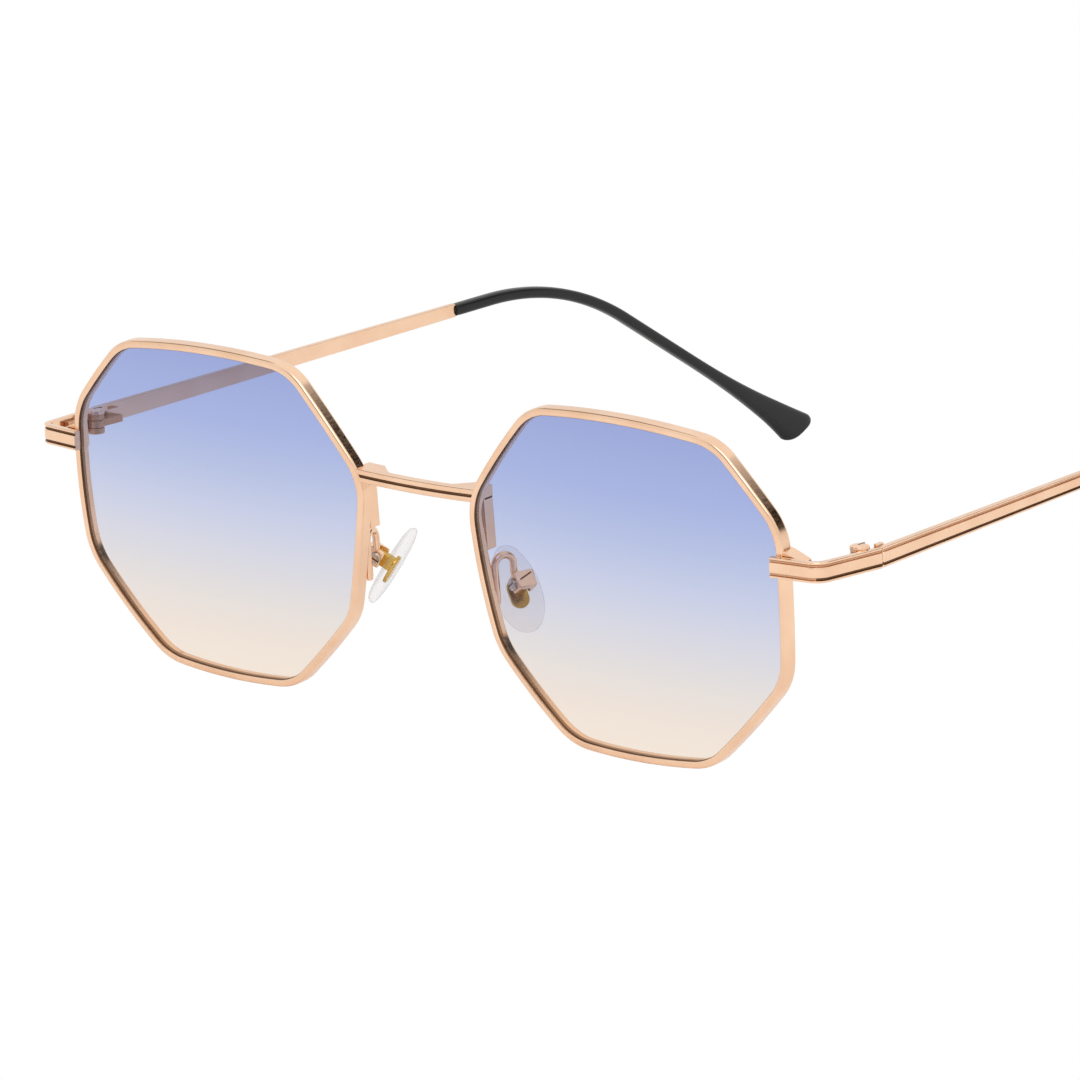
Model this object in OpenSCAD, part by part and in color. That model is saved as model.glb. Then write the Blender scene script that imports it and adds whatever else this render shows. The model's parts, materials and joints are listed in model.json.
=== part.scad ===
// Polygonal metal sunglasses: two eight-sided wire rims, gradient lenses, folding grooved temples.
// Millimetres. +X is the wearer's left, +Y runs back along the temples, +Z is up.
// The glasses stand on Z = 0, on the two rims and the two temple tips. X = 0 is the plane of symmetry.

/* [Lens outline] */
// Distance from the middle of the nose to the middle of a lens
lens_x = 36; // [34:0.5:39]
// Distance of the top corner on the nose side
top_nose = 14.8; // [12:0.1:17]
// Height of the top corner on the nose side
top_nose_z = 22.2; // [19:0.1:24]
// Distance of the top corner on the temple side
top_temple = 16.2; // [12:0.1:18]
// Height of the top corner on the temple side
top_temple_z = 21.8; // [19:0.1:24]
// Distance of the upper side corner on the temple side
upper_temple = 25.8; // [24:0.1:27]
// Height of the upper side corner on the temple side
upper_temple_z = 11.7; // [8:0.1:13]
// Distance of the lower side corner on the temple side
lower_temple = 25.3; // [22:0.1:26]
// Depth of the lower side corner on the temple side
lower_temple_z = 8.3; // [6:0.1:11]
// Distance of the bottom corner on the temple side
bottom_temple = 12.1; // [10:0.1:14]
// Depth of the bottom corner on the temple side
bottom_temple_z = 21.4; // [19:0.1:24]
// Distance of the bottom corner on the nose side
bottom_nose = 11.3; // [10:0.1:14]
// Depth of the bottom corner on the nose side
bottom_nose_z = 21.9; // [19:0.1:24]
// Distance of the lower side corner on the nose side
lower_nose = 22.9; // [21:0.1:25]
// Depth of the lower side corner on the nose side
lower_nose_z = 10.7; // [8:0.1:12]
// Distance of the upper side corner on the nose side
upper_nose = 26.4; // [24:0.1:27]
// Height of the upper side corner on the nose side
upper_nose_z = 8.4; // [6:0.1:11]
// Radius of the slightly bowed sides
side_r = 110; // [80:5:200]
// Radius of the eight corners
corner_r = 10; // [8:0.2:11]

/* [Rim wire and lens] */
// Width of the rim wire, seen from the front
wire_w = 1.1; // [1:0.05:1.8]
// Depth of the rim wire, front to back
wire_d = 1.85; // [1.8:0.05:3]
// Width of the raised band on the front of the wire
band_w = 0.8; // [0.5:0.05:0.9]
// Height of the raised band
band_h = 0.22; // [0.1:0.02:0.3]
// Radius of the sphere that the front follows
base_r = 177; // [160:1:400]
// Depth of the groove that holds the lens edge
groove_d = 0.4; // [0.3:0.05:0.5]
// Width of the groove
groove_w = 0.8; // [0.7:0.05:1.1]
// Thickness of the lens
lens_t = 1.3; // [1.2:0.05:1.8]
// Thickness of the tongue round the lens edge
tongue_t = 0.6; // [0.4:0.05:0.65]
// How far the front of the lens lies behind the front of the wire
lens_set = 0.35; // [0.3:0.05:0.7]

/* [Front] */
// Lean of the front, top forwards, in degrees
front_lean = 4.2; // [2:0.1:7]
// Height of the lens centres above the table
lens_h = 22.65; // [21:0.01:25]
// Height of the end pieces above the lens centre
end_z = 7.4; // [5:0.1:8]
// Height of the bridge bar above the lens centre
bridge_z = 9.2; // [7:0.1:10]
// Height of the bridge bar's section
bridge_h = 1.8; // [1.2:0.1:2]
// Depth of the bridge bar, front to back
bridge_d = 1.3; // [1:0.1:1.8]
// Sag of the bridge bar in the middle
bridge_sag = 0.25; // [0.2:0.05:1.2]
// How far the front of the bridge bar lies behind the front of the rims
bridge_set = 0.3; // [0.2:0.05:0.6]
// Distance of the bridge legs from the plane of symmetry
leg_x = 9.8; // [9.2:0.1:10.4]
// Depth of the bridge legs, front to back
leg_d = 1.8; // [1.6:0.1:2.6]
// Thickness of the bridge legs
leg_t = 1; // [0.8:0.1:1.2]
// Height of the foot of the bridge legs above the lens centre
leg_foot_z = 1.5; // [0.5:0.1:3]

/* [Nose pads] */
// Length of the soft pad
pad_l = 12.4; // [12:0.2:15]
// Width of the soft pad
pad_w = 6.6; // [6:0.1:8.5]
// Thickness of the soft pad
pad_t = 1.8; // [1.7:0.1:2.4]
// Lean of the pad towards the nose at its top, in degrees
pad_lean = 34; // [25:1:38]
// Turn of the pad, front edge towards the nose, in degrees
pad_turn = 24; // [20:1:36]
// Distance of the pad screw from the plane of symmetry
pad_x = 12.8; // [12.2:0.1:13.6]
// Distance of the pad screw behind the front
pad_y = 7.7; // [6:0.1:8.2]
// Depth of the pad screw below the lens centre
pad_z = 3.7; // [2.6:0.1:4.2]
// Diameter of the pad arm wire
arm_wire = 1; // [0.8:0.05:1.2]
// Height of the arm's bend below the lens centre, at its straight legs
arm_bend_z = 0.9; // [0.6:0.1:1.6]
// Length of the arm's foot on the rim
arm_foot_l = 5; // [4:0.2:6]

/* [Temple strip and hinge] */
// Distance of the outer corner of the end piece from the plane of symmetry
corner_x = 68.9; // [67.5:0.1:70]
// Thickness of the strip
strip_t = 0.95; // [0.9:0.05:1.3]
// Height of the strip at the hinge
strip_h = 2.7; // [2.4:0.1:3.2]
// Height of the strip where the tip starts
strip_end_h = 1.9; // [1.7:0.1:2.2]
// Depth of the two grooves along the strip
line_d = 0.22; // [0.1:0.02:0.3]
// Height of each groove
line_h = 0.26; // [0.2:0.02:0.4]
// Radius of the bend at the outer corner
bend_r = 2.2; // [1.6:0.1:3]
// Backward slope of the end piece's front leg, in degrees
front_slope = 7; // [3:0.5:10]
// Outward flare of the end piece behind the corner, in degrees
flare = 6; // [2:0.5:7]
// Distance of the hinge axis behind the front
hinge_y = 10.8; // [8.8:0.1:11.5]
// Distance of the butt joint behind the hinge axis
butt_y = 1.7; // [1.6:0.1:3.6]
// Radius of the hinge knuckles
knuckle_r = 1.2; // [1.1:0.05:1.3]
// Height of the whole knuckle stack
knuckle_h = 2.7; // [2.5:0.1:3.4]
// Depth of the middle of the knuckles below the middle of the strip
hinge_drop = 0.3; // [0.1:0.05:0.5]
// Height of the middle knuckle
middle_h = 1; // [0.8:0.1:1.4]
// Radius of the hinge screw
hinge_screw_r = 0.6; // [0.5:0.05:0.7]
// Inward turn of the temple, in degrees
temple_turn = 1.75; // [0:0.05:2.5]
// Upward slope of the temple, in degrees
temple_rise = 1.95; // [0:0.05:2.5]
// Length of the strip from the hinge axis to the tip
strip_l = 73; // [65:1:80]

/* [Temple tip] */
// Straight stretch of the tip before its bend
tip_straight = 7.5; // [6:0.5:12]
// Radius of the bend behind the ear
ear_r = 50; // [35:1:60]
// Angle of the bend behind the ear
ear_angle = 34.07; // [28:0.01:40]
// Straight length after the bend
tip_drop = 45.6; // [38:0.1:50]
// Height of the tip at its start
tip_start_h = 1.8; // [1.7:0.1:2.4]
// Height of the tip in the bend
tip_slim_h = 1.7; // [1.6:0.1:2.2]
// Height of the paddle at the end
paddle_h = 6.2; // [4:0.1:6.5]
// Length over which the paddle flares
paddle_l = 29; // [16:1:34]
// How much further the top corner of the paddle's end reaches than its middle
end_skew = 1.9; // [0.5:0.1:2.5]
// Radius of the corners of the paddle's end
end_r = 1.5; // [0.8:0.1:2]
// Thickness of the tip
tip_t = 1.9; // [1.8:0.1:2.6]
// Thickness of the wire core inside the tip
core_w = 0.9; // [0.7:0.05:1]

/* [Hidden] */

gold = [0.90, 0.76, 0.62];
steel = [0.75, 0.74, 0.72];
// Gap left between two brazed or seated pieces
seat = 0.03;
// Running clearance in the hinge, between its faces and round its screws
run = 0.05;
// Width of the slit that lets the rim open for the lens
slit = 0.1;
// Segments in each side and in each corner of the outline
side_n = 4;
corner_n = 5;

// The corners run clockwise from the top corner at the nose, for the lens on the wearer's left.
corners = [
    [-top_nose, top_nose_z],
    [top_temple, top_temple_z],
    [upper_temple, upper_temple_z],
    [lower_temple, -lower_temple_z],
    [bottom_temple, -bottom_temple_z],
    [-bottom_nose, -bottom_nose_z],
    [-lower_nose, -lower_nose_z],
    [-upper_nose, upper_nose_z]
];
corner_count = len(corners);
function corner(i) = corners[(i + corner_count) % corner_count];

// Centre of the large circle that bows the side after corner i.
function side_centre(i) =
    let (p = corner(i), q = corner(i + 1), mid = (p + q) / 2, half = norm(q - p) / 2)
    let (out = [p[1] - q[1], q[0] - p[0]] / (2 * half))
    mid - out * sqrt(side_r * side_r - half * half);

// Centre of the round at corner i, which touches both of its sides from within.
function round_centre(i) =
    let (a = side_centre(i - 1), b = side_centre(i), mid = (a + b) / 2, half = norm(b - a) / 2)
    let (across = [a[1] - b[1], b[0] - a[0]] / (2 * half))
    let (reach = sqrt(pow(side_r - corner_r, 2) - half * half))
    let (way = across * corner(i) > across * mid ? 1 : -1)
    mid + across * way * reach;

function heading(from, to) = atan2(to[1] - from[1], to[0] - from[0]);
function turn(from, to) = (to - from + 540) % 360 - 180;
function on_circle(centre, r, a) = centre + r * [cos(a), sin(a)];

// The outline moved outwards by grow, as points on its side arcs and corner arcs.
function outline(grow) = [
    for (i = [0 : corner_count - 1])
        let (c = side_centre(i), k0 = round_centre(i), k1 = round_centre(i + 1))
        let (a0 = heading(c, k0), a1 = heading(c, k1), b1 = heading(side_centre(i + 1), k1))
        each concat(
            [for (s = [0 : side_n]) on_circle(c, side_r + grow, a0 + turn(a0, a1) * s / side_n)],
            [for (s = [1 : corner_n - 1]) on_circle(k1, corner_r + grow, a1 + turn(a1, b1) * s / corner_n)]
        )
];

// How far the spherical front falls back at a distance from the lens centre.
function sag(r) = base_r - sqrt(base_r * base_r - r * r);

// Puts a piece of the leaning front in place. Its own origin is midway between the lens centres.
module in_front_plane() {
    translate([0, 0, lens_h])
        rotate([front_lean, 0, 0])
            children();
}

// Repeats a piece made for the wearer's left on the right.
module right_side() {
    mirror([1, 0, 0])
        children();
}

// A spherical slab between two depths, about the lens centre.
module curved_slab(front, back) {
    cap_r = 32;
    cap_depth = 16;
    rotate([-90, 0, 0])
        rotate_extrude($fn = 120)
            intersection() {
                translate([0, -cap_depth / 2])
                    square([cap_r, cap_depth]);
                difference() {
                    translate([0, base_r])
                        circle(r = base_r - front, $fn = 1800);
                    translate([0, base_r])
                        circle(r = base_r - back, $fn = 1800);
                }
            }
}

// The outline as a tall prism, front to back.
module outline_prism(grow) {
    prism_depth = 24;
    translate([0, prism_depth / 2, 0])
        rotate([90, 0, 0])
            linear_extrude(height = prism_depth)
                polygon(outline(grow));
}

// A ring of the outline between two offsets and two depths.
module curved_ring(inner, outer, front, back) {
    intersection() {
        difference() {
            outline_prism(outer);
            outline_prism(inner);
        }
        curved_slab(front, back);
    }
}

groove_y = wire_d / 2;

// One rim, bent from grooved wire, with its slit behind the end piece.
module rim_left() {
    half = wire_w / 2;
    color(gold)
        in_front_plane()
            translate([lens_x, 0, 0])
                difference() {
                    union() {
                        curved_ring(-half, half, band_h, wire_d);
                        curved_ring(-band_w / 2, band_w / 2, 0, wire_d / 2);
                    }
                    curved_ring(-half - 1, groove_d - half, groove_y - groove_w / 2, groove_y + groove_w / 2);
                    translate([upper_temple - 4, -4, end_z - slit / 2])
                        cube([8, 12, slit]);
                }
}

// The space that a rim takes, with the seat gap round it.
module rim_space() {
    grown = wire_w / 2 + seat;
    in_front_plane()
        translate([lens_x, 0, 0])
            curved_ring(-grown, grown, -seat, wire_d + seat);
}

// One lens: a curved pane with a tongue that sits in the rim's groove.
module lens_left() {
    pane = wire_w / 2 + 0.05;
    tongue = wire_w / 2 - groove_d + 0.06;
    color([0.72, 0.76, 0.92, 0.55])
        in_front_plane()
            translate([lens_x, 0, 0])
                union() {
                    intersection() {
                        outline_prism(-pane);
                        curved_slab(lens_set, lens_set + lens_t);
                    }
                    intersection() {
                        outline_prism(-tongue);
                        curved_slab(groove_y - tongue_t / 2, groove_y + tongue_t / 2);
                    }
                }
}

leg_y = sag(upper_nose) + wire_d - 0.1;
leg_back = leg_y + leg_d;
bar_y = sag(upper_nose) + bridge_set;

// A band of the sagging bar between two heights, front to back from bar_y.
module bar_band(low, high, depth) {
    half = leg_x + leg_t;
    bar_r = (half * half + bridge_sag * bridge_sag) / (2 * bridge_sag);
    steps = 16;
    arc_half = asin(half / bar_r);
    centre_z = bridge_z - bridge_sag + bar_r;
    angles = [for (s = [0 : steps]) -90 - arc_half + 2 * arc_half * s / steps];
    translate([0, bar_y + depth, 0])
        rotate([90, 0, 0])
            linear_extrude(height = depth)
                polygon(concat(
                    [for (a = angles) on_circle([0, centre_z], bar_r - low, a)],
                    [for (s = [steps : -1 : 0]) on_circle([0, centre_z], bar_r - high, angles[s])]
                ));
}

// What joins the bar to the rear on one side: the swept gusset, the leg and the round inner corner.
module bridge_leg() {
    gusset_x = leg_x - 4.4;
    fillet = 1.1;
    under_z = bridge_z - bridge_h / 2;
    intersection() {
        bar_band(-bridge_h / 2, bridge_h / 2, leg_back - bar_y);
        linear_extrude(height = 2 * bridge_z)
            polygon([
                [gusset_x, bar_y + bridge_d - 0.5],
                [gusset_x, bar_y + bridge_d],
                [leg_x - 1.8, leg_back],
                [leg_x + leg_t, leg_back],
                [leg_x + leg_t, leg_y],
                [leg_x, bar_y + bridge_d - 0.5]
            ]);
    }
    translate([leg_x, leg_y, leg_foot_z])
        cube([leg_t, leg_d, under_z + 0.3 - leg_foot_z]);
    translate([leg_x, leg_back, under_z - fillet])
        rotate([90, 0, 0])
            linear_extrude(height = leg_d)
                difference() {
                    translate([-fillet, 0])
                        square([fillet + 0.05, fillet]);
                    translate([-fillet, 0])
                        circle(r = fillet, $fn = 48);
                }
}

// The bridge: a sagging bar between the rims with a line along its front, and two legs brazed behind them.
module bridge() {
    color(gold)
        difference() {
            in_front_plane()
                union() {
                    difference() {
                        bar_band(-bridge_h / 2, bridge_h / 2, bridge_d);
                        translate([0, -1, 0])
                            bar_band(-line_h / 2, line_h / 2, 1 + line_d);
                    }
                    bridge_leg();
                    right_side()
                        bridge_leg();
                }
            rim_space();
            right_side()
                rim_space();
        }
}

hinge_h = lens_h + end_z;
hinge_mid = hinge_h - hinge_drop;
joint_y = hinge_y + butt_y;
end_x = lens_x + upper_temple - wire_w / 2;
end_y = sag(upper_temple) * cos(front_lean) - end_z * sin(front_lean) - strip_t;
bend_x = corner_x - bend_r;
bend_y = end_y + (bend_x - end_x) * tan(front_slope) + bend_r / cos(front_slope);

// The end piece's course in plan: front leg, round corner, flared back leg.
function end_course(inset) =
    let (r = bend_r - inset, a0 = front_slope - 90, a1 = -flare)
    concat(
        [[end_x - inset * sin(front_slope), end_y + inset * cos(front_slope)]],
        [for (s = [0 : 6]) on_circle([bend_x, bend_y], r, a0 + (a1 - a0) * s / 6)],
        [[bend_x + r / cos(flare) + (joint_y + 1 - bend_y) * tan(flare), joint_y + 1]]
    );

leg_outer_x = bend_x + bend_r / cos(flare) + (hinge_y - bend_y) * tan(flare);
hinge_x = leg_outer_x - strip_t / cos(flare) - knuckle_r - 0.08;

// A strip of the end piece between two heights, its outer face inset by a groove.
module end_band(low, high, inset) {
    inner = end_course(strip_t);
    translate([0, 0, low])
        linear_extrude(height = high - low)
            polygon(concat(
                end_course(inset),
                [for (i = [len(inner) - 1 : -1 : 0]) inner[i]]
            ));
}

// Heights of the strip's ridges and grooves as [low, high, inset], about the middle of the strip.
function strip_bands(h) =
    let (ridge = (h - 2 * line_h) / 3)
    [
        [-h / 2, -h / 2 + ridge, 0],
        [-h / 2 + ridge, -h / 2 + ridge + line_h, line_d],
        [-ridge / 2, ridge / 2, 0],
        [ridge / 2, ridge / 2 + line_h, line_d],
        [h / 2 - ridge, h / 2, 0]
    ];

// The bent strip from the front of the rim back to the hinge joint.
module end_piece_left() {
    color(gold)
        difference() {
            translate([0, 0, hinge_h])
                for (b = strip_bands(strip_h))
                    end_band(b[0], b[1], b[2]);
            rim_space();
            translate([0, joint_y, hinge_h - 5])
                cube([100, 10, 10]);
        }
}

block_x = lens_x + upper_temple + wire_w / 2 + seat;
block_w = 3;
block_d = 2.2;
block_h = 1.9;
block_screw_r = 0.55;
block_y = sag(upper_temple) + 0.4;

// One half of the closing block that pulls the rim shut round the lens.
module block_half(low, high) {
    color(gold)
        in_front_plane()
            difference() {
                translate([block_x - 0.5, block_y, end_z + low])
                    cube([block_w + 0.5, block_d, high - low]);
                translate([block_x + block_w / 2, block_y + block_d / 2, end_z - block_h - 1])
                    cylinder(r = block_screw_r + 0.02, h = 2 * block_h + 2, $fn = 32);
                translate([lens_x, 0, 0])
                    outline_prism(wire_w / 2 + seat);
            }
}

// Keeps a piece clear of the strip of the end piece.
module behind_end_piece() {
    inner = end_course(strip_t + seat);
    outer = end_course(-2);
    difference() {
        children();
        linear_extrude(height = 2 * hinge_h)
            polygon(concat(outer, [for (i = [len(inner) - 1 : -1 : 0]) inner[i]]));
    }
}

module block_upper_left() {
    behind_end_piece()
        block_half(slit / 2, block_h);
}

module block_lower_left() {
    behind_end_piece()
        block_half(-block_h, -slit / 2);
}

// The screw of the closing block, driven from below.
module rim_screw_left() {
    head_h = 0.5;
    color(steel)
        in_front_plane()
            translate([block_x + block_w / 2, block_y + block_d / 2, end_z])
                difference() {
                    union() {
                        translate([0, 0, -block_h - seat])
                            cylinder(r = block_screw_r, h = 2 * block_h - 0.2, $fn = 32);
                        translate([0, 0, -block_h - seat - head_h])
                            cylinder(r = 0.9, h = head_h, $fn = 32);
                    }
                    translate([-1, -0.12, -block_h - seat - head_h - 0.1])
                        cube([2, 0.24, 0.3]);
                }
}

// The pad's own frame: +X away from the nose, +Y to the rear, +Z up the pad, origin on the screw.
module in_pad_frame() {
    in_front_plane()
        translate([pad_x, pad_y, -pad_z])
            rotate([0, -pad_lean, -pad_turn])
                children();
}

box_x = 2.6;
box_y = 2.6;
box_z = 2.4;
cheek = 0.65;
pad_screw_r = 0.5;
pad_back = -1.5;
box_open_x = -0.9;
lug_y = box_y - 2 * cheek - 2 * run;
lug_r = 0.9;
insert_t = 0.5;
insert_back = pad_back - 0.8;

// The wire arm: a foot behind the rim, a bend over the top and a leg down to the front cheek of the box.
module pad_arm_left() {
    r = arm_wire / 2;
    foot = [lens_x - 24.7, sag(25.4) + wire_d + r + seat];
    seat_x = 0.5;
    away = seat_x * cos(pad_lean) - box_z / 2 * sin(pad_lean);
    forward = (box_y - cheek) / 2;
    end = [pad_x, pad_y] + away * [cos(pad_turn), -sin(pad_turn)] - forward * [sin(pad_turn), cos(pad_turn)];
    span = norm(end - foot);
    seat_z = seat_x * sin(pad_lean) + box_z / 2 * cos(pad_lean) - 0.45;
    drop = pad_z - arm_bend_z - seat_z;
    color(gold)
        difference() {
            in_front_plane()
                translate([foot[0], foot[1], -arm_bend_z])
                    rotate([0, 0, heading(foot, end)])
                        union() {
                            translate([0, 0, -arm_foot_l])
                                cylinder(r = r, h = arm_foot_l + 0.05, $fn = 32);
                            translate([span / 2, 0, 0])
                                rotate([90, 0, 0])
                                    rotate_extrude(angle = 180, $fn = 64)
                                        translate([span / 2, 0])
                                            circle(r = r - 0.02, $fn = 32);
                            translate([span, 0, -drop])
                                cylinder(r = r, h = drop + 0.05, $fn = 32);
                        }
            in_pad_frame()
                translate([box_open_x - seat, -box_y / 2 - seat, -box_z / 2 - seat])
                    cube([box_x + 2 * seat, box_y + 2 * seat, box_z + 2 * seat]);
        }
}

// The box at the end of the arm: a channel open towards the nose, drilled across for the screw.
module pad_box_left() {
    color(gold)
        in_pad_frame()
            difference() {
                translate([box_open_x, -box_y / 2, -box_z / 2])
                    cube([box_x, box_y, box_z]);
                translate([box_open_x - 1, cheek - box_y / 2, -box_z])
                    cube([box_x - cheek + 1, box_y - 2 * cheek, 2 * box_z]);
                translate([0, box_y, 0])
                    rotate([90, 0, 0])
                        cylinder(r = pad_screw_r + 0.02, h = 2 * box_y, $fn = 32);
            }
}

// The small slotted screw that the pad rocks on.
module pad_screw_left() {
    head_h = 0.45;
    color(steel)
        in_pad_frame()
            difference() {
                union() {
                    translate([0, box_y / 2, 0])
                        rotate([90, 0, 0])
                            cylinder(r = pad_screw_r, h = box_y + seat, $fn = 32);
                    translate([0, -box_y / 2 - seat, 0])
                        rotate([90, 0, 0])
                            cylinder(r = 0.85, h = head_h, $fn = 32);
                }
                translate([-1, -box_y / 2 - seat - head_h - 0.1, -0.1])
                    cube([2, 0.3, 0.2]);
            }
}

// The stiff plate inside the pad, with the lug that hangs on the screw.
module pad_insert_left() {
    color([0.80, 0.66, 0.30])
        in_pad_frame()
            difference() {
                union() {
                    rotate([90, 0, 0])
                        translate([0, 0, -lug_y / 2])
                            cylinder(r = lug_r, h = lug_y, $fn = 40);
                    translate([insert_back - insert_t / 2, -lug_y / 2, -lug_r])
                        cube([insert_t / 2 - insert_back, lug_y, 2 * lug_r]);
                    translate([insert_back - insert_t, 0, 0])
                        rotate([0, 90, 0])
                            round_plate(0, insert_t);
                }
                translate([0, box_y, 0])
                    rotate([90, 0, 0])
                        cylinder(r = pad_screw_r + run, h = 2 * box_y, $fn = 32);
            }
}

// A round-ended plate, its length along X before it is turned, grown all round in its plane.
module round_plate(grow, h) {
    plate_r = 1.5;
    plate_half = 2;
    for (end = [-1, 1])
        translate([end * plate_half, 0, 0])
            cylinder(r = plate_r + grow, h = h, $fn = 40);
    translate([-plate_half, -plate_r - grow, 0])
        cube([2 * plate_half, 2 * (plate_r + grow), h]);
}

// The soft oval pad: a lens-like cushion as rings of an egg outline, moulded round its plate.
module nose_pad_left() {
    sides = 28;
    function pad_ring(x, share) = [
        for (s = [0 : sides - 1])
            let (a = 360 * s / sides, egg = 1 - 0.1 * cos(a))
            [x, share * egg * pad_w / 2 * sin(a), share * pad_l / 2 * cos(a)]
    ];
    levels = [[0, 0.62], [-0.35, 0.86], [-0.8, 0.97], [-1.15, 1], [-1.5, 0.93], [-1.8, 0.74], [-2, 0.45]];
    rings = [for (l = levels) pad_ring(pad_back + l[0] * pad_t / 2, l[1])];
    points = [for (r = rings) each r];
    count = len(levels);
    sheet = [
        for (l = [0 : count - 2]) for (s = [0 : sides - 1])
            let (n = (s + 1) % sides)
            [l * sides + s, l * sides + n, (l + 1) * sides + n, (l + 1) * sides + s]
    ];
    back = [for (s = [sides - 1 : -1 : 0]) s];
    face = [for (s = [0 : sides - 1]) (count - 1) * sides + s];
    color([0.93, 0.93, 0.92, 0.6])
        in_pad_frame()
            difference() {
                polyhedron(points = points, faces = concat(sheet, [back], [face]), convexity = 4);
                pad_pocket();
            }
}

// The pocket in the pad that holds its plate and lets the lug out.
module pad_pocket() {
    translate([insert_back - insert_t - seat, 0, 0])
        rotate([0, 90, 0])
            round_plate(seat, insert_t + 2 * seat);
    translate([insert_back - insert_t / 2, -lug_y / 2 - seat, -lug_r - seat])
        cube([3, lug_y + 2 * seat, 2 * (lug_r + seat)]);
}

// One end knuckle of the front leaf, with the web that ties it to the plate.
module front_knuckle(low, high) {
    translate([hinge_x, hinge_y, hinge_mid + low])
        cylinder(r = knuckle_r, h = high - low, $fn = 48);
}

plate_t = 0.75;
plate_h = 2.3;

// The front leaf of the hinge: a plate inside the end piece, with the two outer knuckles.
module hinge_front_left() {
    leaf_l = 5.4;
    leaf_x = leg_outer_x - strip_t / cos(flare) - seat;
    low = middle_h / 2 + run;
    color(gold)
        difference() {
            union() {
                translate([leaf_x, hinge_y, hinge_mid])
                    rotate([0, 0, -flare])
                        translate([-plate_t, -leaf_l, -plate_h / 2])
                            cube([plate_t, leaf_l + 1, plate_h]);
                front_knuckle(low, knuckle_h / 2);
                front_knuckle(-knuckle_h / 2, -low);
                for (z = [low, -plate_h / 2])
                    translate([hinge_x, hinge_y - knuckle_r, hinge_mid + z])
                        cube([knuckle_r - 0.1, knuckle_r * 2, plate_h / 2 - low]);
            }
            translate([hinge_x, hinge_y, hinge_mid - knuckle_h])
                cylinder(r = hinge_screw_r + 0.02, h = 2 * knuckle_h, $fn = 40);
            // Room for the middle knuckle and its arm.
            translate([hinge_x, hinge_y, hinge_mid - low])
                cylinder(r = knuckle_r + 0.15, h = 2 * low, $fn = 48);
            translate([hinge_x - 3, hinge_y, hinge_mid - low])
                cube([6, 6, 2 * low]);
        }
}

// The hinge screw, with its slotted head on top.
module hinge_screw_left() {
    head_h = 0.4;
    color(steel)
        translate([hinge_x, hinge_y, hinge_mid])
            difference() {
                union() {
                    translate([0, 0, -knuckle_h / 2])
                        cylinder(r = hinge_screw_r, h = knuckle_h + seat, $fn = 40);
                    translate([0, 0, knuckle_h / 2 + seat])
                        cylinder(r = knuckle_r, h = head_h, $fn = 40);
                }
                rotate([0, 0, 25])
                    translate([-1.5, -0.13, knuckle_h / 2 + head_h - 0.2])
                        cube([3, 0.26, 1]);
            }
}

// The temple's own frame: origin on the hinge axis, +Y along the strip.
module in_temple_frame() {
    translate([hinge_x, hinge_y, hinge_h])
        rotate([temple_rise, 0, temple_turn])
            children();
}

// Everything behind the butt joint.
module behind_joint(gap) {
    intersection() {
        children();
        translate([0, joint_y + gap, -20])
            cube([120, 240, 100]);
    }
}

strip_outer = leg_outer_x - hinge_x + butt_y * tan(flare) + (butt_y + 1) * tan(temple_turn);

// The rear leaf of the hinge: a plate inside the temple, with the middle knuckle on its arm.
module hinge_rear_left() {
    leaf_l = 6.5;
    leaf_x = strip_outer - strip_t - seat;
    color(gold)
        difference() {
            union() {
                translate([hinge_x, hinge_y, hinge_mid - middle_h / 2])
                    cylinder(r = knuckle_r, h = middle_h, $fn = 48);
                behind_joint(run)
                    in_temple_frame()
                        translate([leaf_x - plate_t, 0, -hinge_drop - plate_h / 2])
                            cube([plate_t, butt_y + leaf_l, plate_h]);
                intersection() {
                    translate([hinge_x - knuckle_r + 0.35, hinge_y, hinge_mid - middle_h / 2])
                        cube([4, butt_y + 3, middle_h]);
                    in_temple_frame()
                        translate([leaf_x - 4, -1, -4])
                            cube([4 - seat, 20, 8]);
                    translate([hinge_x - knuckle_r, hinge_y - 1, 0])
                        cube([leg_outer_x - strip_t / cos(flare) - hinge_x + knuckle_r - 0.1, 20, 100]);
                }
            }
            translate([hinge_x, hinge_y, hinge_mid - knuckle_h])
                cylinder(r = hinge_screw_r + run, h = 2 * knuckle_h, $fn = 40);
        }
}

// Side profile of the temple strip between two shares of its height.
module strip_side(low, high, depth, from_x) {
    translate([from_x, 0, 0])
        rotate([90, 0, 90])
            linear_extrude(height = depth)
                polygon([
                    [0, low * strip_h / 2],
                    [strip_l, low * strip_end_h / 2],
                    [strip_l, high * strip_end_h / 2],
                    [0, high * strip_h / 2]
                ]);
}

tip_l = tip_straight + ear_r * ear_angle * PI / 180 + tip_drop;

// Point on the tip's centreline, as [along the temple, up], at a distance from the tip's start.
function tip_point(s) =
    let (arc_l = ear_r * ear_angle * PI / 180)
    let (a = min(max(s - tip_straight, 0), arc_l) / ear_r * 180 / PI)
    let (rest = max(s - tip_straight - arc_l, 0))
    [
        strip_l + min(s, tip_straight) + ear_r * sin(a) + rest * cos(a),
        -ear_r * (1 - cos(a)) - rest * sin(a)
    ];
function tip_heading(s) = min(max(s - tip_straight, 0) / ear_r * 180 / PI, ear_angle);

// Smooth step from 0 to 1.
function ease(t) = let (u = min(max(t, 0), 1)) u * u * (3 - 2 * u);

// How far a rounded corner of radius r cuts back a side, at a distance from the end.
function corner_cut(r, left) = left < r ? r - sqrt(r * r - pow(r - max(left, 0), 2)) : 0;

// Half height and half thickness of the tip at a distance from its start.
function tip_half(s) =
    let (slim = tip_start_h + (tip_slim_h - tip_start_h) * ease(s / 25))
    let (flare_share = pow(max(s - tip_l + paddle_l, 0) / paddle_l, 2.26))
    (slim + (paddle_h - slim) * flare_share) / 2 - corner_cut(end_r, tip_l - s);
function tip_thick(s) = tip_t / 2 * min(1, 0.55 + tip_half(s) / tip_t) - corner_cut(0.4, tip_l - s);

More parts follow.
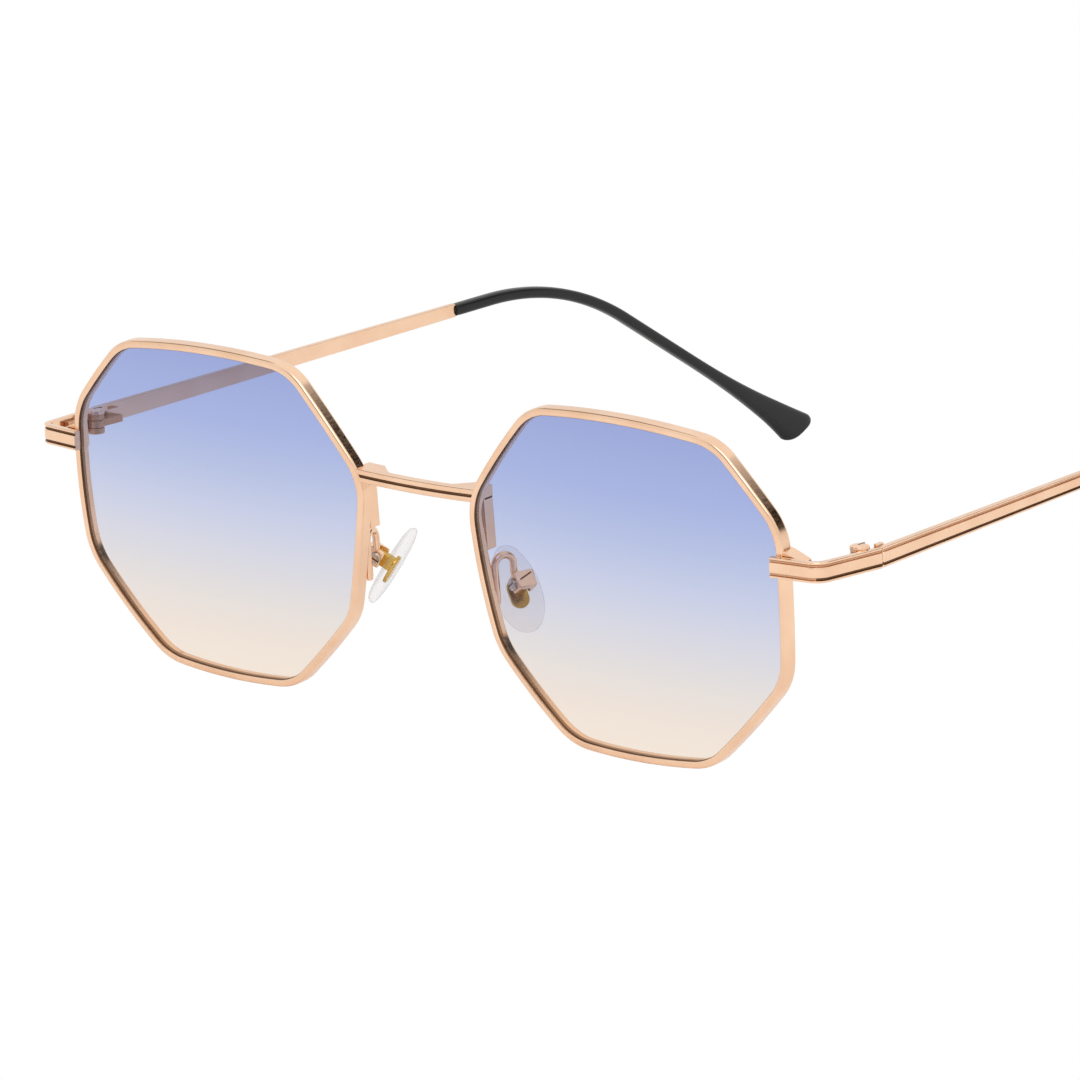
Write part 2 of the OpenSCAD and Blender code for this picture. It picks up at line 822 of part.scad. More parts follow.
// Point of the tip at a share of its height, from -1 below to 1 above, its end cut aslant.
function tip_edge(s, share, half) =
    let (p = tip_point(s), h = tip_heading(s), v = share * half)
    let (on = share * end_skew * ease((s - tip_l + 10) / 10))
    [p[0] + v * sin(h) + on * cos(h), p[1] + v * cos(h) - on * sin(h)];

// A closed loft along the tip's centreline, its section a rounded oblong given by half sizes.
module tip_loft(from, to, steps, grow, mid_x, core) {
    sides = 16;
    crowd = core ? 1 : 1.5;
    function section(s) =
        let (hz = core ? core_w / 2 + grow : tip_half(s), hx = core ? core_w / 2 + grow : tip_thick(s))
        [
            for (k = [0 : sides - 1])
                let (a = 360 * k / sides, c = cos(a), d = sin(a))
                let (u = sign(c) * pow(abs(c), 0.7) * hx, share = sign(d) * pow(abs(d), 0.7))
                concat([mid_x + u], tip_edge(s, share, hz))
        ];
    stations = [for (i = [0 : steps]) from + (to - from) * (1 - pow(1 - i / steps, crowd))];
    points = [for (s = stations) each section(s)];
    sheet = [
        for (i = [0 : steps - 1]) for (k = [0 : sides - 1])
            let (n = (k + 1) % sides)
            [i * sides + k, i * sides + n, (i + 1) * sides + n, (i + 1) * sides + k]
    ];
    first = [for (k = [sides - 1 : -1 : 0]) k];
    last = [for (k = [0 : sides - 1]) steps * sides + k];
    polyhedron(points = points, faces = concat(sheet, [first], [last]), convexity = 6);
}

core_l = tip_l - 14;
strip_mid = strip_outer - strip_t / 2;

// The temple: a tapering grooved strip, and the wire core that carries the tip.
module temple_left() {
    ridge = (strip_h - 2 * line_h) / 3 / strip_h;
    line_share = line_h * 2 / strip_h;
    color(gold)
        behind_joint(run)
            in_temple_frame()
                union() {
                    difference() {
                        strip_side(-1, 1, strip_t, strip_outer - strip_t);
                        for (side = [-1, 1])
                            strip_side(
                                side * (ridge + line_share / 2) - line_share / 2,
                                side * (ridge + line_share / 2) + line_share / 2,
                                line_d + 1, strip_outer - line_d
                            );
                    }
                    tip_loft(-0.5, core_l, 30, 0, strip_mid, true);
                }
}

// The dark tip: a slim arm that bends behind the ear and flares into a paddle.
module temple_tip_left() {
    color([0.17, 0.18, 0.17])
        in_temple_frame()
            difference() {
                tip_loft(seat, tip_l, 40, 0, strip_mid, false);
                tip_loft(-1, core_l + 0.1, 30, seat, strip_mid, true);
            }
}

// The front of the rims and the end of the tips, which set the middle of the whole.
rim_reach = (top_nose_z + top_temple_z) / 2 + pow(top_nose + top_temple, 2) / (8 * side_r) + band_w / 2;
front_y = sag(rim_reach) * cos(front_lean) - rim_reach * sin(front_lean);
top_edge = [for (i = [0 : 30]) tip_edge(tip_l - i / 10, 1, tip_half(tip_l - i / 10))];
back_y = hinge_y + max([for (p = top_edge) p[0] * cos(temple_rise) - p[1] * sin(temple_rise)]);

module on_table() {
    translate([0, -(front_y + back_y) / 2, 0])
        children();
}

on_table() rim_left();
on_table() right_side() rim_left();  // rim_right
on_table() lens_left();
on_table() right_side() lens_left();  // lens_right
on_table() bridge();
on_table() end_piece_left();
on_table() right_side() end_piece_left();  // end_piece_right
on_table() block_upper_left();
on_table() right_side() block_upper_left();  // block_upper_right
on_table() block_lower_left();
on_table() right_side() block_lower_left();  // block_lower_right
on_table() rim_screw_left();
on_table() right_side() rim_screw_left();  // rim_screw_right
on_table() pad_arm_left();
on_table() right_side() pad_arm_left();  // pad_arm_right
on_table() pad_box_left();
on_table() right_side() pad_box_left();  // pad_box_right
on_table() pad_screw_left();
on_table() right_side() pad_screw_left();  // pad_screw_right
on_table() pad_insert_left();
on_table() right_side() pad_insert_left();  // pad_insert_right
on_table() nose_pad_left();
on_table() right_side() nose_pad_left();  // nose_pad_right
on_table() hinge_front_left();
on_table() right_side() hinge_front_left();  // hinge_front_right
on_table() hinge_screw_left();
on_table() right_side() hinge_screw_left();  // hinge_screw_right
on_table() hinge_rear_left();
on_table() right_side() hinge_rear_left();  // hinge_rear_right
on_table() temple_left();
on_table() right_side() temple_left();  // temple_right
on_table() temple_tip_left();
on_table() right_side() temple_tip_left();  // temple_tip_right
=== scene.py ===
"""Polygonal metal sunglasses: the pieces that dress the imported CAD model, their finishes and the studio.

All lengths are millimetres until a mesh is finished, which scales it to metres. +X is the wearer's left,
+Y runs back along the temples and +Z is up. Each piece is drawn for the wearer's left and mirrored.
"""

import json
import logging
import math
from dataclasses import dataclass
from enum import Enum
from functools import cache
from typing import Callable, Sequence

import bmesh
import bpy
from mathutils import Matrix, Vector


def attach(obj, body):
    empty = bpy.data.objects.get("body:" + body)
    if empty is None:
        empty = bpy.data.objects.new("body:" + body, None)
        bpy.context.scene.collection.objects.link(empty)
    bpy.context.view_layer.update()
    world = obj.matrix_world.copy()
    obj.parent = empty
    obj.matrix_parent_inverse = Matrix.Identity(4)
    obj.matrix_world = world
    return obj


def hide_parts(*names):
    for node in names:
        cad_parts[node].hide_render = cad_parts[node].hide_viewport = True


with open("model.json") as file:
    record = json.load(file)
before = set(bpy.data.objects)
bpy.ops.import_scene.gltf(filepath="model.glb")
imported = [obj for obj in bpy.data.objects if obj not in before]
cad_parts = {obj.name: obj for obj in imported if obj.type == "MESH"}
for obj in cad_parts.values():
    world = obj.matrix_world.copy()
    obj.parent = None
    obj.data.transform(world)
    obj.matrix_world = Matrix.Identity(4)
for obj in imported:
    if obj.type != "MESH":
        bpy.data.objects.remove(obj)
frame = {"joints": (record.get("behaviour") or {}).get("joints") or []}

logging.basicConfig(level=logging.INFO, format="%(message)s")
LOG = logging.getLogger("sunglasses")

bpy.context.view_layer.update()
MM = 0.001
GAP = 0.03  # room between pieces that are brazed or pushed together

Point = tuple[float, float]
Section = Sequence[Point]
Stops = Sequence[tuple[float, str]]
Tree = bpy.types.NodeTree


# Colours and nodes.


def linear(code: str) -> tuple[float, float, float, float]:
    """Turns an sRGB hex code into a linear colour.

    Args:
        code: The colour as six hex digits after a hash.

    Returns:
        The linear red, green and blue, and a full alpha.
    """
    parts = [int(code[i : i + 2], 16) / 255 for i in (1, 3, 5)]
    red, green, blue = [p / 12.92 if p <= 0.04045 else ((p + 0.055) / 1.055) ** 2.4 for p in parts]
    return red, green, blue, 1.0


def per_metre(size: float) -> float:
    """Gives a pattern's scale from its real size in millimetres."""
    return 1 / (size * MM)


def add_node(
    tree: Tree, kind: str, inputs: dict | None = None, stops: Stops = (), **settings: object
) -> bpy.types.Node:
    """Adds one shader node.

    Args:
        tree: The node tree that receives it.
        kind: The node's type, without the ShaderNode in front.
        inputs: Values, sockets or nodes for its inputs, by name or index. A node gives its first output.
        stops: Positions and hex colours of a colour ramp, from low to high.
        **settings: Properties of the node itself.

    Returns:
        The new node.
    """
    node = tree.nodes.new(f"ShaderNode{kind}")
    for name, value in settings.items():
        setattr(node, name, value)
    for key, value in (inputs or {}).items():
        if isinstance(value, bpy.types.Node):
            value = value.outputs[0]
        if isinstance(value, bpy.types.NodeSocket):
            tree.links.new(value, node.inputs[key])
        else:
            node.inputs[key].default_value = value
    elements = node.color_ramp.elements if stops else ()
    while len(elements) < len(stops):
        elements.new(1.0)
    for element, (position, code) in zip(elements, stops):
        element.position = position
        element.color = linear(code)
    return node


def fill_tree(
    owner: bpy.types.Material | bpy.types.World,
    surface: Callable[[Tree], bpy.types.Node],
    output: str = "OutputMaterial",
) -> None:
    """Fills the node tree of a material or of the world.

    Args:
        owner: What is shaded.
        surface: Adds the nodes to the empty tree and gives the last one.
        output: Type of the tree's output node.
    """
    owner.use_nodes = True
    owner.node_tree.nodes.clear()
    add_node(owner.node_tree, output, {"Surface": surface(owner.node_tree)})


@dataclass(frozen=True)
class SurfaceFinish:
    """What all finishes share.

    Attributes:
        name: The material's name.
        slot: The record's material slot that it is meant for; not used.
    """

    name: str
    slot: str

    def surface(self, tree: Tree) -> bpy.types.Node:
        """Adds the finish's nodes to a tree and gives the last one."""
        raise NotImplementedError

    def build(self) -> bpy.types.Material:
        """Makes the material.

        Returns:
            The material.
        """
        material = bpy.data.materials.new(self.name)
        fill_tree(material, self.surface)
        return material


@dataclass(frozen=True)
class MetalFinish(SurfaceFinish):
    """A plated or bare metal.

    Attributes:
        base: Main colour.
        dark: Colour of the faint darker clouds.
        roughness: Mean roughness.
        edge: Radius of the softened edges, in millimetres.
        wear: Depth of the polishing marks in the surface.
        cloud: Size of the clouds, in millimetres.
        strokes: Size of the polishing marks along each axis, in millimetres. Real ones are finer still.
    """

    base: str
    dark: str
    roughness: float
    edge: float = 0.06
    wear: float = 0.0015
    cloud: float = 6.25
    strokes: tuple[float, float, float] = (0.3846, 1.111, 0.1923)

    def surface(self, tree: Tree) -> bpy.types.Node:
        """Adds the nodes of a polished metal.

        Args:
            tree: The node tree that receives them.

        Returns:
            The last node.
        """
        place = add_node(tree, "TexCoord").outputs["Object"]
        clouds = add_node(tree, "TexNoise", {"Vector": place, "Scale": per_metre(self.cloud), "Detail": 3.0})
        tone = add_node(tree, "ValToRGB", {0: clouds}, [(0.3, self.dark), (0.62, self.base)])
        scale = [per_metre(size) for size in self.strokes]
        stretch = add_node(tree, "Mapping", {"Vector": place, "Scale": scale})
        marks = add_node(tree, "TexNoise", {"Vector": stretch, "Scale": 1.0, "Detail": 2.0})
        spread = {"To Min": self.roughness * 0.8, "To Max": self.roughness * 1.25}
        rough = add_node(tree, "MapRange", {"Value": marks, "From Min": 0.3, "From Max": 0.7, **spread})
        soft = add_node(tree, "Bevel", {"Radius": self.edge * MM}, samples=4)
        relief = {"Height": marks, "Normal": soft, "Strength": self.wear, "Distance": 0.02 * MM}
        bump = add_node(tree, "Bump", relief)
        look = {"Base Color": tone, "Metallic": 1.0, "Roughness": rough, "Normal": bump}
        return add_node(tree, "BsdfPrincipled", look)


@dataclass(frozen=True)
class PlasticFinish(SurfaceFinish):
    """A moulded plastic or rubber, opaque or clear.

    Attributes:
        base: Main colour.
        dark: Colour of the faint mottling.
        roughness: Mean roughness.
        edge: Colour where the surface turns away, painted there as edge shade.
        shine: Strength of the plain reflection.
        coat: Weight of the glossy coat.
        clear: Share of light that passes straight through.
        mottle: Size of the mottling, in millimetres.
        grain: Size of the mould's grain, in millimetres, as coarse as it has to be to show.
    """

    base: str
    dark: str
    roughness: float
    edge: str
    shine: float = 0.5
    coat: float = 0.0
    clear: float = 0.0
    mottle: float = 4.545
    grain: float = 0.4167

    def surface(self, tree: Tree) -> bpy.types.Node:
        """Adds the nodes of a moulded surface, clearest where it faces the eye.

        Args:
            tree: The node tree that receives them.

        Returns:
            The last node.
        """
        place = add_node(tree, "TexCoord").outputs["Object"]
        mottle = add_node(tree, "TexNoise", {"Vector": place, "Scale": per_metre(self.mottle), "Detail": 4.0})
        tone = add_node(tree, "ValToRGB", {0: mottle}, [(0.3, self.dark), (0.65, self.base)])
        spread = {"To Min": self.roughness * 0.85, "To Max": self.roughness * 1.15}
        rough = add_node(tree, "MapRange", {"Value": mottle, "From Min": 0.3, "From Max": 0.7, **spread})
        grain = add_node(tree, "TexNoise", {"Vector": place, "Scale": per_metre(self.grain), "Detail": 2.0})
        relief = {"Height": grain, "Strength": 0.005 if self.clear > 0 else 0.04, "Distance": 0.02 * MM}
        bump = add_node(tree, "Bump", relief)
        facing = add_node(tree, "LayerWeight", {"Blend": 0.35}).outputs["Facing"]
        # Towards the outline the colour turns to the edge colour: painted edge shade.
        turned = add_node(tree, "MapRange", {"Value": facing, "From Min": 0.55, "From Max": 0.95})
        edge = add_node(tree, "Mix", {0: turned, 6: tone, 7: linear(self.edge)}, data_type="RGBA").outputs[2]
        look = {"Base Color": edge, "Roughness": rough, "Normal": bump, "Specular IOR Level": self.shine}
        shader = add_node(tree, "BsdfPrincipled", {**look, "Coat Weight": self.coat, "Coat Roughness": 0.12})
        if self.clear == 0:
            return shader
        spread = {"From Min": 0.35, "From Max": 0.95, "To Min": 1.0 - self.clear, "To Max": 0.75}
        share = add_node(tree, "MapRange", {"Value": facing, **spread})
        through = add_node(tree, "BsdfTransparent", {"Color": linear("#FBFAFA")})
        return add_node(tree, "MixShader", {0: share, 1: through, 2: shader})


@dataclass(frozen=True)
class LensFinish(SurfaceFinish):
    """A clear pane with a gradient tint.

    Attributes:
        stops: Share of the lens height and the colour seen there against white, from the bottom up.
        low: Height of the lens bottom, in millimetres.
        high: Height of the lens top, in millimetres.
        ripple: Size of the faint waves in the pane, in millimetres.
    """

    stops: tuple[tuple[float, str], ...]
    low: float
    high: float
    ripple: float = 16.67

    def surface(self, tree: Tree) -> bpy.types.Node:
        """Adds the nodes of a tinted pane. Light passes two faces, so each takes the root of the tint.

        Args:
            tree: The node tree that receives them.

        Returns:
            The last node.
        """
        place = add_node(tree, "TexCoord").outputs["Object"]
        height = add_node(tree, "SeparateXYZ", {"Vector": place}).outputs["Z"]
        ends = {"From Min": self.low * MM, "From Max": self.high * MM}
        level = add_node(tree, "MapRange", {"Value": height, **ends})
        tint = add_node(tree, "ValToRGB", {0: level}, self.stops)
        root = add_node(tree, "Gamma", {"Color": tint, "Gamma": 0.5})
        through = add_node(tree, "BsdfTransparent", {"Color": root})
        ripple = add_node(tree, "TexNoise", {"Vector": place, "Scale": per_metre(self.ripple), "Detail": 1.0})
        bump = add_node(tree, "Bump", {"Height": ripple, "Strength": 0.01, "Distance": 0.1 * MM})
        shine = add_node(tree, "BsdfGlossy", {"Color": linear("#FFFFFF"), "Roughness": 0.02, "Normal": bump})
        fresnel = add_node(tree, "Fresnel", {"IOR": 1.32})
        inside = add_node(tree, "NewGeometry").outputs["Backfacing"]
        outside = add_node(tree, "Math", {0: 1.0, 1: inside}, operation="SUBTRACT")
        share = add_node(tree, "Math", {0: fresnel, 1: outside}, operation="MULTIPLY")
        return add_node(tree, "MixShader", {0: share, 1: through, 2: shine})


TINT = (
    (0.0, "#F4E7D9"),
    (0.12, "#F0E3D8"),
    (0.25, "#E5DFDC"),
    (0.40, "#D6D7E3"),
    (0.52, "#C8CEE6"),
    (0.66, "#B5C0E3"),
    (0.80, "#A6B3E1"),
    (1.0, "#9AA7D8"),
)


class Finish(Enum):
    """The finishes of the glasses."""

    # Rose gold plating on polished alloy wire: a warm mirror with soft highlights.
    GOLD = MetalFinish("rose_gold", "gold_metal", "#F8D3B4", "#F1C8A7", 0.16)
    # The same plating where it turns into the groove of the lens, painted duller and browner as shade.
    SHADE = MetalFinish("rose_gold_inner_painted_shade", "gold_metal", "#AD8868", "#947152", 0.3)
    # The same plating in its rolled grooves and slots, painted a dull dark brown as the shade that falls in
    # them.
    GROOVE = MetalFinish("rose_gold_groove_painted_shade", "gold_metal", "#7A563C", "#674630", 0.42, 0.02)
    # Its lit grooves and the stamped hinge leaves, painted half dark as half shade: a satin rose gold.
    LINE = MetalFinish("rose_gold_painted_half_shade", "gold_metal", "#D4A583", "#C59371", 0.3, 0.02)
    # Turned stainless steel: pale grey and bright.
    STEEL = MetalFinish("screw_steel", "screw_steel", "#D9D4CE", "#B9B2AA", 0.2, 0.03)
    # Stamped brass, which shows yellow through the clear pad.
    CORE = MetalFinish("pad_core", "pad_core", "#D8B04A", "#B88E34", 0.25, 0.04)
    # Moulded acetate, tumbled: near black with a satin shine.
    TIP = PlasticFinish("dark_tip", "dark_tip", "#161918", "#121514", 0.32, "#101211", shine=0.22, coat=0.12)
    # Moulded clear silicone: hardly seen from the front, painted grey where it turns away as the shade of its
    # edges.
    PAD = PlasticFinish(
        "pad_silicone", "pad_silicone", "#F4F2F0", "#E9E6E3", 0.12, "#7F7A7A", coat=0.3, clear=0.93
    )
    # Moulded polycarbonate, dipped in dye: blue above, fading to warm cream below.
    LENS = LensFinish("tinted_lens", "tinted_lens", TINT, 0.78, 45.67)


@cache
def material_of(finish: Finish) -> bpy.types.Material:
    """Gives a finish's material, made once."""
    return finish.value.build()


# Mesh building.


class Side(Enum):
    """The side of the wearer that a piece sits on."""

    LEFT = 1
    RIGHT = -1

    @property
    def word(self) -> str:
        """The side as it is written in node names."""
        return self.name.lower()


def circle(steps: int) -> list[Point]:
    """Gives the cosine and sine of each of the even steps round a circle."""
    return [(math.cos(2 * math.pi * k / steps), math.sin(2 * math.pi * k / steps)) for k in range(steps)]


class Skin:
    """A mesh under construction, in millimetres, for the wearer's left."""

    def __init__(self) -> None:
        """Starts an empty mesh."""
        self.bm = bmesh.new()

    def loft(
        self,
        rings: Sequence[Sequence[Vector]],
        loop: bool = False,
        tone: Callable[[int, int], int] | None = None,
    ) -> list[bmesh.types.BMVert]:
        """Joins closed sections that change on their way into a tube, and closes its open ends.

        The faces are made one by one, because a face's finish follows from its place in the section.

        Args:
            rings: The sections, with as many points each.
            loop: Whether the last ring joins the first.
            tone: Gives a face's finish by the index of its ring and of its first point.

        Returns:
            The tube's vertices.
        """
        made = [[self.bm.verts.new(p) for p in ring] for ring in rings]
        count = len(made[0])
        for end in () if loop else (made[0][::-1], made[-1]):
            self.bm.faces.new(end)
        for i, here in enumerate(made if loop else made[:-1]):
            there = made[(i + 1) % len(made)]
            for k in range(count):
                n = (k + 1) % count
                face = self.bm.faces.new((here[k], here[n], there[n], there[k]))
                face.material_index = tone(i, k) if tone else 0
        return [vert for ring in made for vert in ring]

    def prism(
        self,
        outline: Section,
        low: float,
        high: float,
        place: Matrix,
        bevel: float = 0.0,
    ) -> None:
        """Adds an upright prism over an outline in XY.

        Args:
            outline: The corners, in order.
            low: Height of its foot.
            high: Height of its top.
            place: Where it goes.
            bevel: Width of its softened edges.
        """
        verts = self.loft([[Vector((x, y, z)) for x, y in outline] for z in (low, high)])
        self.settle(verts, place, bevel, 0)

    def block(
        self,
        low: Sequence[float],
        high: Sequence[float],
        place: Matrix,
        bevel: float = 0.0,
        tone: int = 0,
    ) -> None:
        """Adds a box between two corners.

        Args:
            low: Lowest corner.
            high: Highest corner.
            place: Where it goes.
            bevel: Width of its softened edges.
            tone: Index of its finish.
        """
        low, high = Vector(low), Vector(high)
        verts = bmesh.ops.create_cube(self.bm, size=1.0)["verts"]
        bmesh.ops.scale(self.bm, vec=high - low, verts=verts)
        bmesh.ops.translate(self.bm, vec=(low + high) / 2, verts=verts)
        self.settle(verts, place, bevel, tone)

    def turn(self, section: Section, place: Matrix, sides: int = 40, bored: bool = False) -> None:
        """Spins a section of radius and height about Z.

        Args:
            section: Radius and height of its corners, from the foot up.
            place: Where it goes.
            sides: Segments round.
            bored: Whether the section closes on itself and leaves a bore. Otherwise its ends are filled.
        """
        verts = [self.bm.verts.new(place @ Vector((radius, 0, height))) for radius, height in section]
        ends = verts[1:] + verts[:1] if bored else verts[1:]
        bmesh.ops.spin(
            self.bm,
            geom=verts + [self.bm.edges.new(pair) for pair in zip(verts, ends)],
            cent=place.to_translation(),
            axis=place.to_3x3() @ Vector((0, 0, 1)),
            angle=2 * math.pi,
            steps=sides,
            use_merge=True,
        )
        bmesh.ops.holes_fill(self.bm, edges=[e for e in self.bm.edges if e.is_boundary], sides=0)

    def settle(self, verts: Sequence[bmesh.types.BMVert], place: Matrix, bevel: float, tone: int) -> None:
        """Softens the edges of a closed shape, gives it its finish and puts it in its place.

        Args:
            verts: All its vertices.
            place: Where it goes.
            bevel: Width of its softened edges, none for 0.
            tone: Index of its finish.
        """
        faces = {face for vert in verts for face in vert.link_faces}
        for face in faces:
            face.material_index = tone
        if bevel > 0:
            made = bmesh.ops.bevel(
                self.bm,
                geom=list({edge for face in faces for edge in face.edges}),
                offset=bevel,
                offset_type="OFFSET",
                segments=2,
                profile=0.5,
                affect="EDGES",
                clamp_overlap=True,
                material=-1,
            )
            kept = {vert for vert in verts if vert.is_valid}
            verts = list(kept | {vert for face in made["faces"] for vert in face.verts})
        bmesh.ops.transform(self.bm, matrix=place, verts=verts)

    def finish(
        self,
        node: str,
        word: str,
        side: Side,
        finishes: Sequence[Finish],
        body: str = "front",
        sharp: float = 32.0,
    ) -> bpy.types.Object:
        """Turns the mesh into an object that stands for a CAD node and rides on a body.

        Args:
            node: The CAD node that it stands for.
            word: What it is, in one word that ends its name.
            side: The side it sits on.
            finishes: Its finishes, by material index.
            body: The body it rides on.
            sharp: Angle in degrees above which edges stay sharp.

        Returns:
            The object.
        """
        bmesh.ops.scale(self.bm, vec=(MM * side.value, MM, MM), verts=self.bm.verts)
        bmesh.ops.recalc_face_normals(self.bm, faces=self.bm.faces)
        mesh = bpy.data.meshes.new(f"{node}_{word}")
        self.bm.to_mesh(mesh)
        self.bm.free()
        mesh.shade_smooth()
        mesh.set_sharp_from_angle(angle=math.radians(sharp))
        for finish in finishes:
            mesh.materials.append(material_of(finish))
        piece = bpy.data.objects.new(f"{node}_{word}", mesh)
        bpy.context.scene.collection.objects.link(piece)
        even = piece.modifiers.new("even_normals", "WEIGHTED_NORMAL")
        even.keep_sharp = True
        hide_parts(node)
        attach(piece, body)
        return piece


def rounded(corners: Section, radius: float, steps: int = 3) -> list[Point]:
    """Rounds the corners of a closed section.

    Args:
        corners: Its corners, in order.
        radius: Radius of the rounds, cut down on short sides.
        steps: Segments in each round.

    Returns:
        The points of the rounded section.
    """
    points: list[Point] = []
    count = len(corners)
    for i in range(count):
        p, here, n = (Vector(corners[(i + d) % count]) for d in (-1, 0, 1))
        back, ahead = p - here, n - here
        cut = min(radius, back.length * 0.45, ahead.length * 0.45)
        a, b = here + back.normalized() * cut, here + ahead.normalized() * cut
        for s in range(steps + 1):
            t = s / steps
            q = a * (1 - t) ** 2 + here * 2 * t * (1 - t) + b * t * t
            points.append((q.x, q.y))
    return points


# The front.


@dataclass(frozen=True)
class FrontSizes:
    """Sizes of the front, as in the CAD model but for the tighter corners and the trimmed wire.

    Attributes:
        lens_x: Distance of the lens centres from the middle.
        lens_h: Height of the lens centres.
        lean: How far the front leans back, in degrees.
        base_r: Radius of its curve.
        side_r: Radius that bows the sides of the lenses.
        corner_r: Radius of their corners.
        corners: Corners of the left lens from its centre, clockwise from the top beside the nose.
        wire_w: Width of the rim wire.
        wire_d: Its depth.
        lens_set: How far the lens lies behind the front of the wire.
        end_z: Height of the hinges over the lens centres.
        hinge_y: Depth of the hinge axes.
    """

    lens_x: float = 36.0
    lens_h: float = 22.65
    lean: float = 4.2
    base_r: float = 177.0
    side_r: float = 110.0
    corner_r: float = 8.2
    corners: tuple[Point, ...] = (
        (-14.8, 22.2),
        (16.2, 21.8),
        (25.8, 11.7),
        (25.3, -8.3),
        (12.1, -21.4),
        (-11.3, -21.9),
        (-22.9, -10.7),
        (-26.4, 8.4),
    )
    wire_w: float = 1.09
    wire_d: float = 1.85
    lens_set: float = 0.35
    end_z: float = 7.4
    hinge_y: float = 10.8

    @property
    def table_y(self) -> float:
        """How far the CAD model is moved along Y from its front, read from the hinge's place."""
        fold = next(j for j in frame["joints"] if j["name"] == "temple_left_fold")
        return fold["pos_m"][1] / MM - self.hinge_y

    def sag(self, r: float) -> float:
        """Gives how far the front falls back at a distance from the lens centre."""
        return self.base_r - math.sqrt(self.base_r**2 - r * r)

    def plane(self) -> Matrix:
        """Gives the place of the leaning front, its origin midway between the lens centres."""
        lean = Matrix.Rotation(math.radians(self.lean), 4, "X")
        return Matrix.Translation((0, self.table_y, self.lens_h)) @ lean

    def side_centre(self, i: int) -> Vector:
        """Gives the centre of the large circle that bows the side after a corner.

        Args:
            i: Index of the corner.

        Returns:
            The centre.
        """
        count = len(self.corners)
        p, q = Vector(self.corners[i % count]), Vector(self.corners[(i + 1) % count])
        half = (q - p).length / 2
        out = Vector((p.y - q.y, q.x - p.x)) / (2 * half)
        return (p + q) / 2 - out * math.sqrt(self.side_r**2 - half**2)

    def round_centre(self, i: int) -> Vector:
        """Gives the centre of the round at a corner.

        Args:
            i: Index of the corner.

        Returns:
            The centre.
        """
        a, b = self.side_centre(i - 1), self.side_centre(i)
        half = (b - a).length / 2
        across = Vector((a.y - b.y, b.x - a.x)) / (2 * half)
        middle = (a + b) / 2
        corner = Vector(self.corners[i % len(self.corners)])
        way = 1 if across.dot(corner - middle) > 0 else -1
        return middle + across * way * math.sqrt((self.side_r - self.corner_r) ** 2 - half**2)

    def outline(self, side_steps: int, corner_steps: int) -> list[tuple[Vector, Vector]]:
        """Walks the lens outline clockwise.

        Args:
            side_steps: Steps along each side.
            corner_steps: Steps round each corner.

        Returns:
            Points and outward normals.
        """
        walk = []
        for i in range(len(self.corners)):
            side, k0, k1 = self.side_centre(i), self.round_centre(i), self.round_centre(i + 1)
            following = self.side_centre(i + 1)
            for centre, radius, a, b, steps in (
                (side, self.side_r, k0 - side, k1 - side, side_steps),
                (k1, self.corner_r, k1 - side, k1 - following, corner_steps),
            ):
                start = math.atan2(a.y, a.x)
                sweep = (math.atan2(b.y, b.x) - start + math.pi) % (2 * math.pi) - math.pi
                for s in range(steps):
                    angle = start + sweep * s / steps
                    normal = Vector((math.cos(angle), math.sin(angle)))
                    walk.append((centre + normal * radius, normal))
        return walk

    def on_front(self, q: Vector, depth: float) -> Vector:
        """Lays a point of the left lens on the curved, leaning front.

        Args:
            q: The point, from the lens centre.
            depth: How far it lies behind the front.

        Returns:
            Its place on the glasses.
        """
        return self.plane() @ Vector((self.lens_x + q.x, self.sag(q.length) + depth, q.y))


FRONT = FrontSizes()


@dataclass(frozen=True)
class Rims:
    """The two wire rims, with steps along each side and round each corner."""

    side_steps: int = 26
    corner_steps: int = 14

    def section(self) -> list[Point]:
        """Gives the wire's section as offset from the outline and depth.

        Returns:
            The points, from the front's outer side round to its inner side, with rounded edges.
        """
        w, d = FRONT.wire_w / 2, FRONT.wire_d
        outer = [(w - 0.36, 0.0), (w - 0.24, 0.02), (w - 0.15, 0.06), (w - 0.08, 0.12), (w - 0.03, 0.2)]
        outer += [(w - 0.005, 0.29), (w, 0.38), (w, 0.5), (w, 0.95), (w, d - 0.35), (w, d - 0.2)]
        outer += [(w - 0.03, d - 0.1), (w - 0.1, d - 0.03), (w - 0.2, d)]
        return outer + [(-u, v) for u, v in reversed(outer)]

    @staticmethod
    def tone(ring: int, k: int) -> int:
        """Gives the finish of a face: painted dark shade in front of the lens, painted lighter shade where
        the dark starts.

        Args:
            ring: Index of the ring, which makes no difference.
            k: Index of the face's first point.

        Returns:
            The finish index.
        """
        return 1 if 20 <= k <= 23 else 2 if k == 19 else 0

    def build(self, side: Side) -> list[bpy.types.Object]:
        """Makes one rim.

        Args:
            side: The side it sits on.

        Returns:
            The rim.
        """
        section = self.section()
        walk = FRONT.outline(self.side_steps, self.corner_steps)
        rings = [[FRONT.on_front(point + normal * u, v) for u, v in section] for point, normal in walk]
        skin = Skin()
        skin.loft(rings, loop=True, tone=self.tone)
        # The inner wall beside the lens is painted with shade.
        return [skin.finish(f"rim_{side.word}", "wire", side, [Finish.GOLD, Finish.GROOVE, Finish.SHADE])]


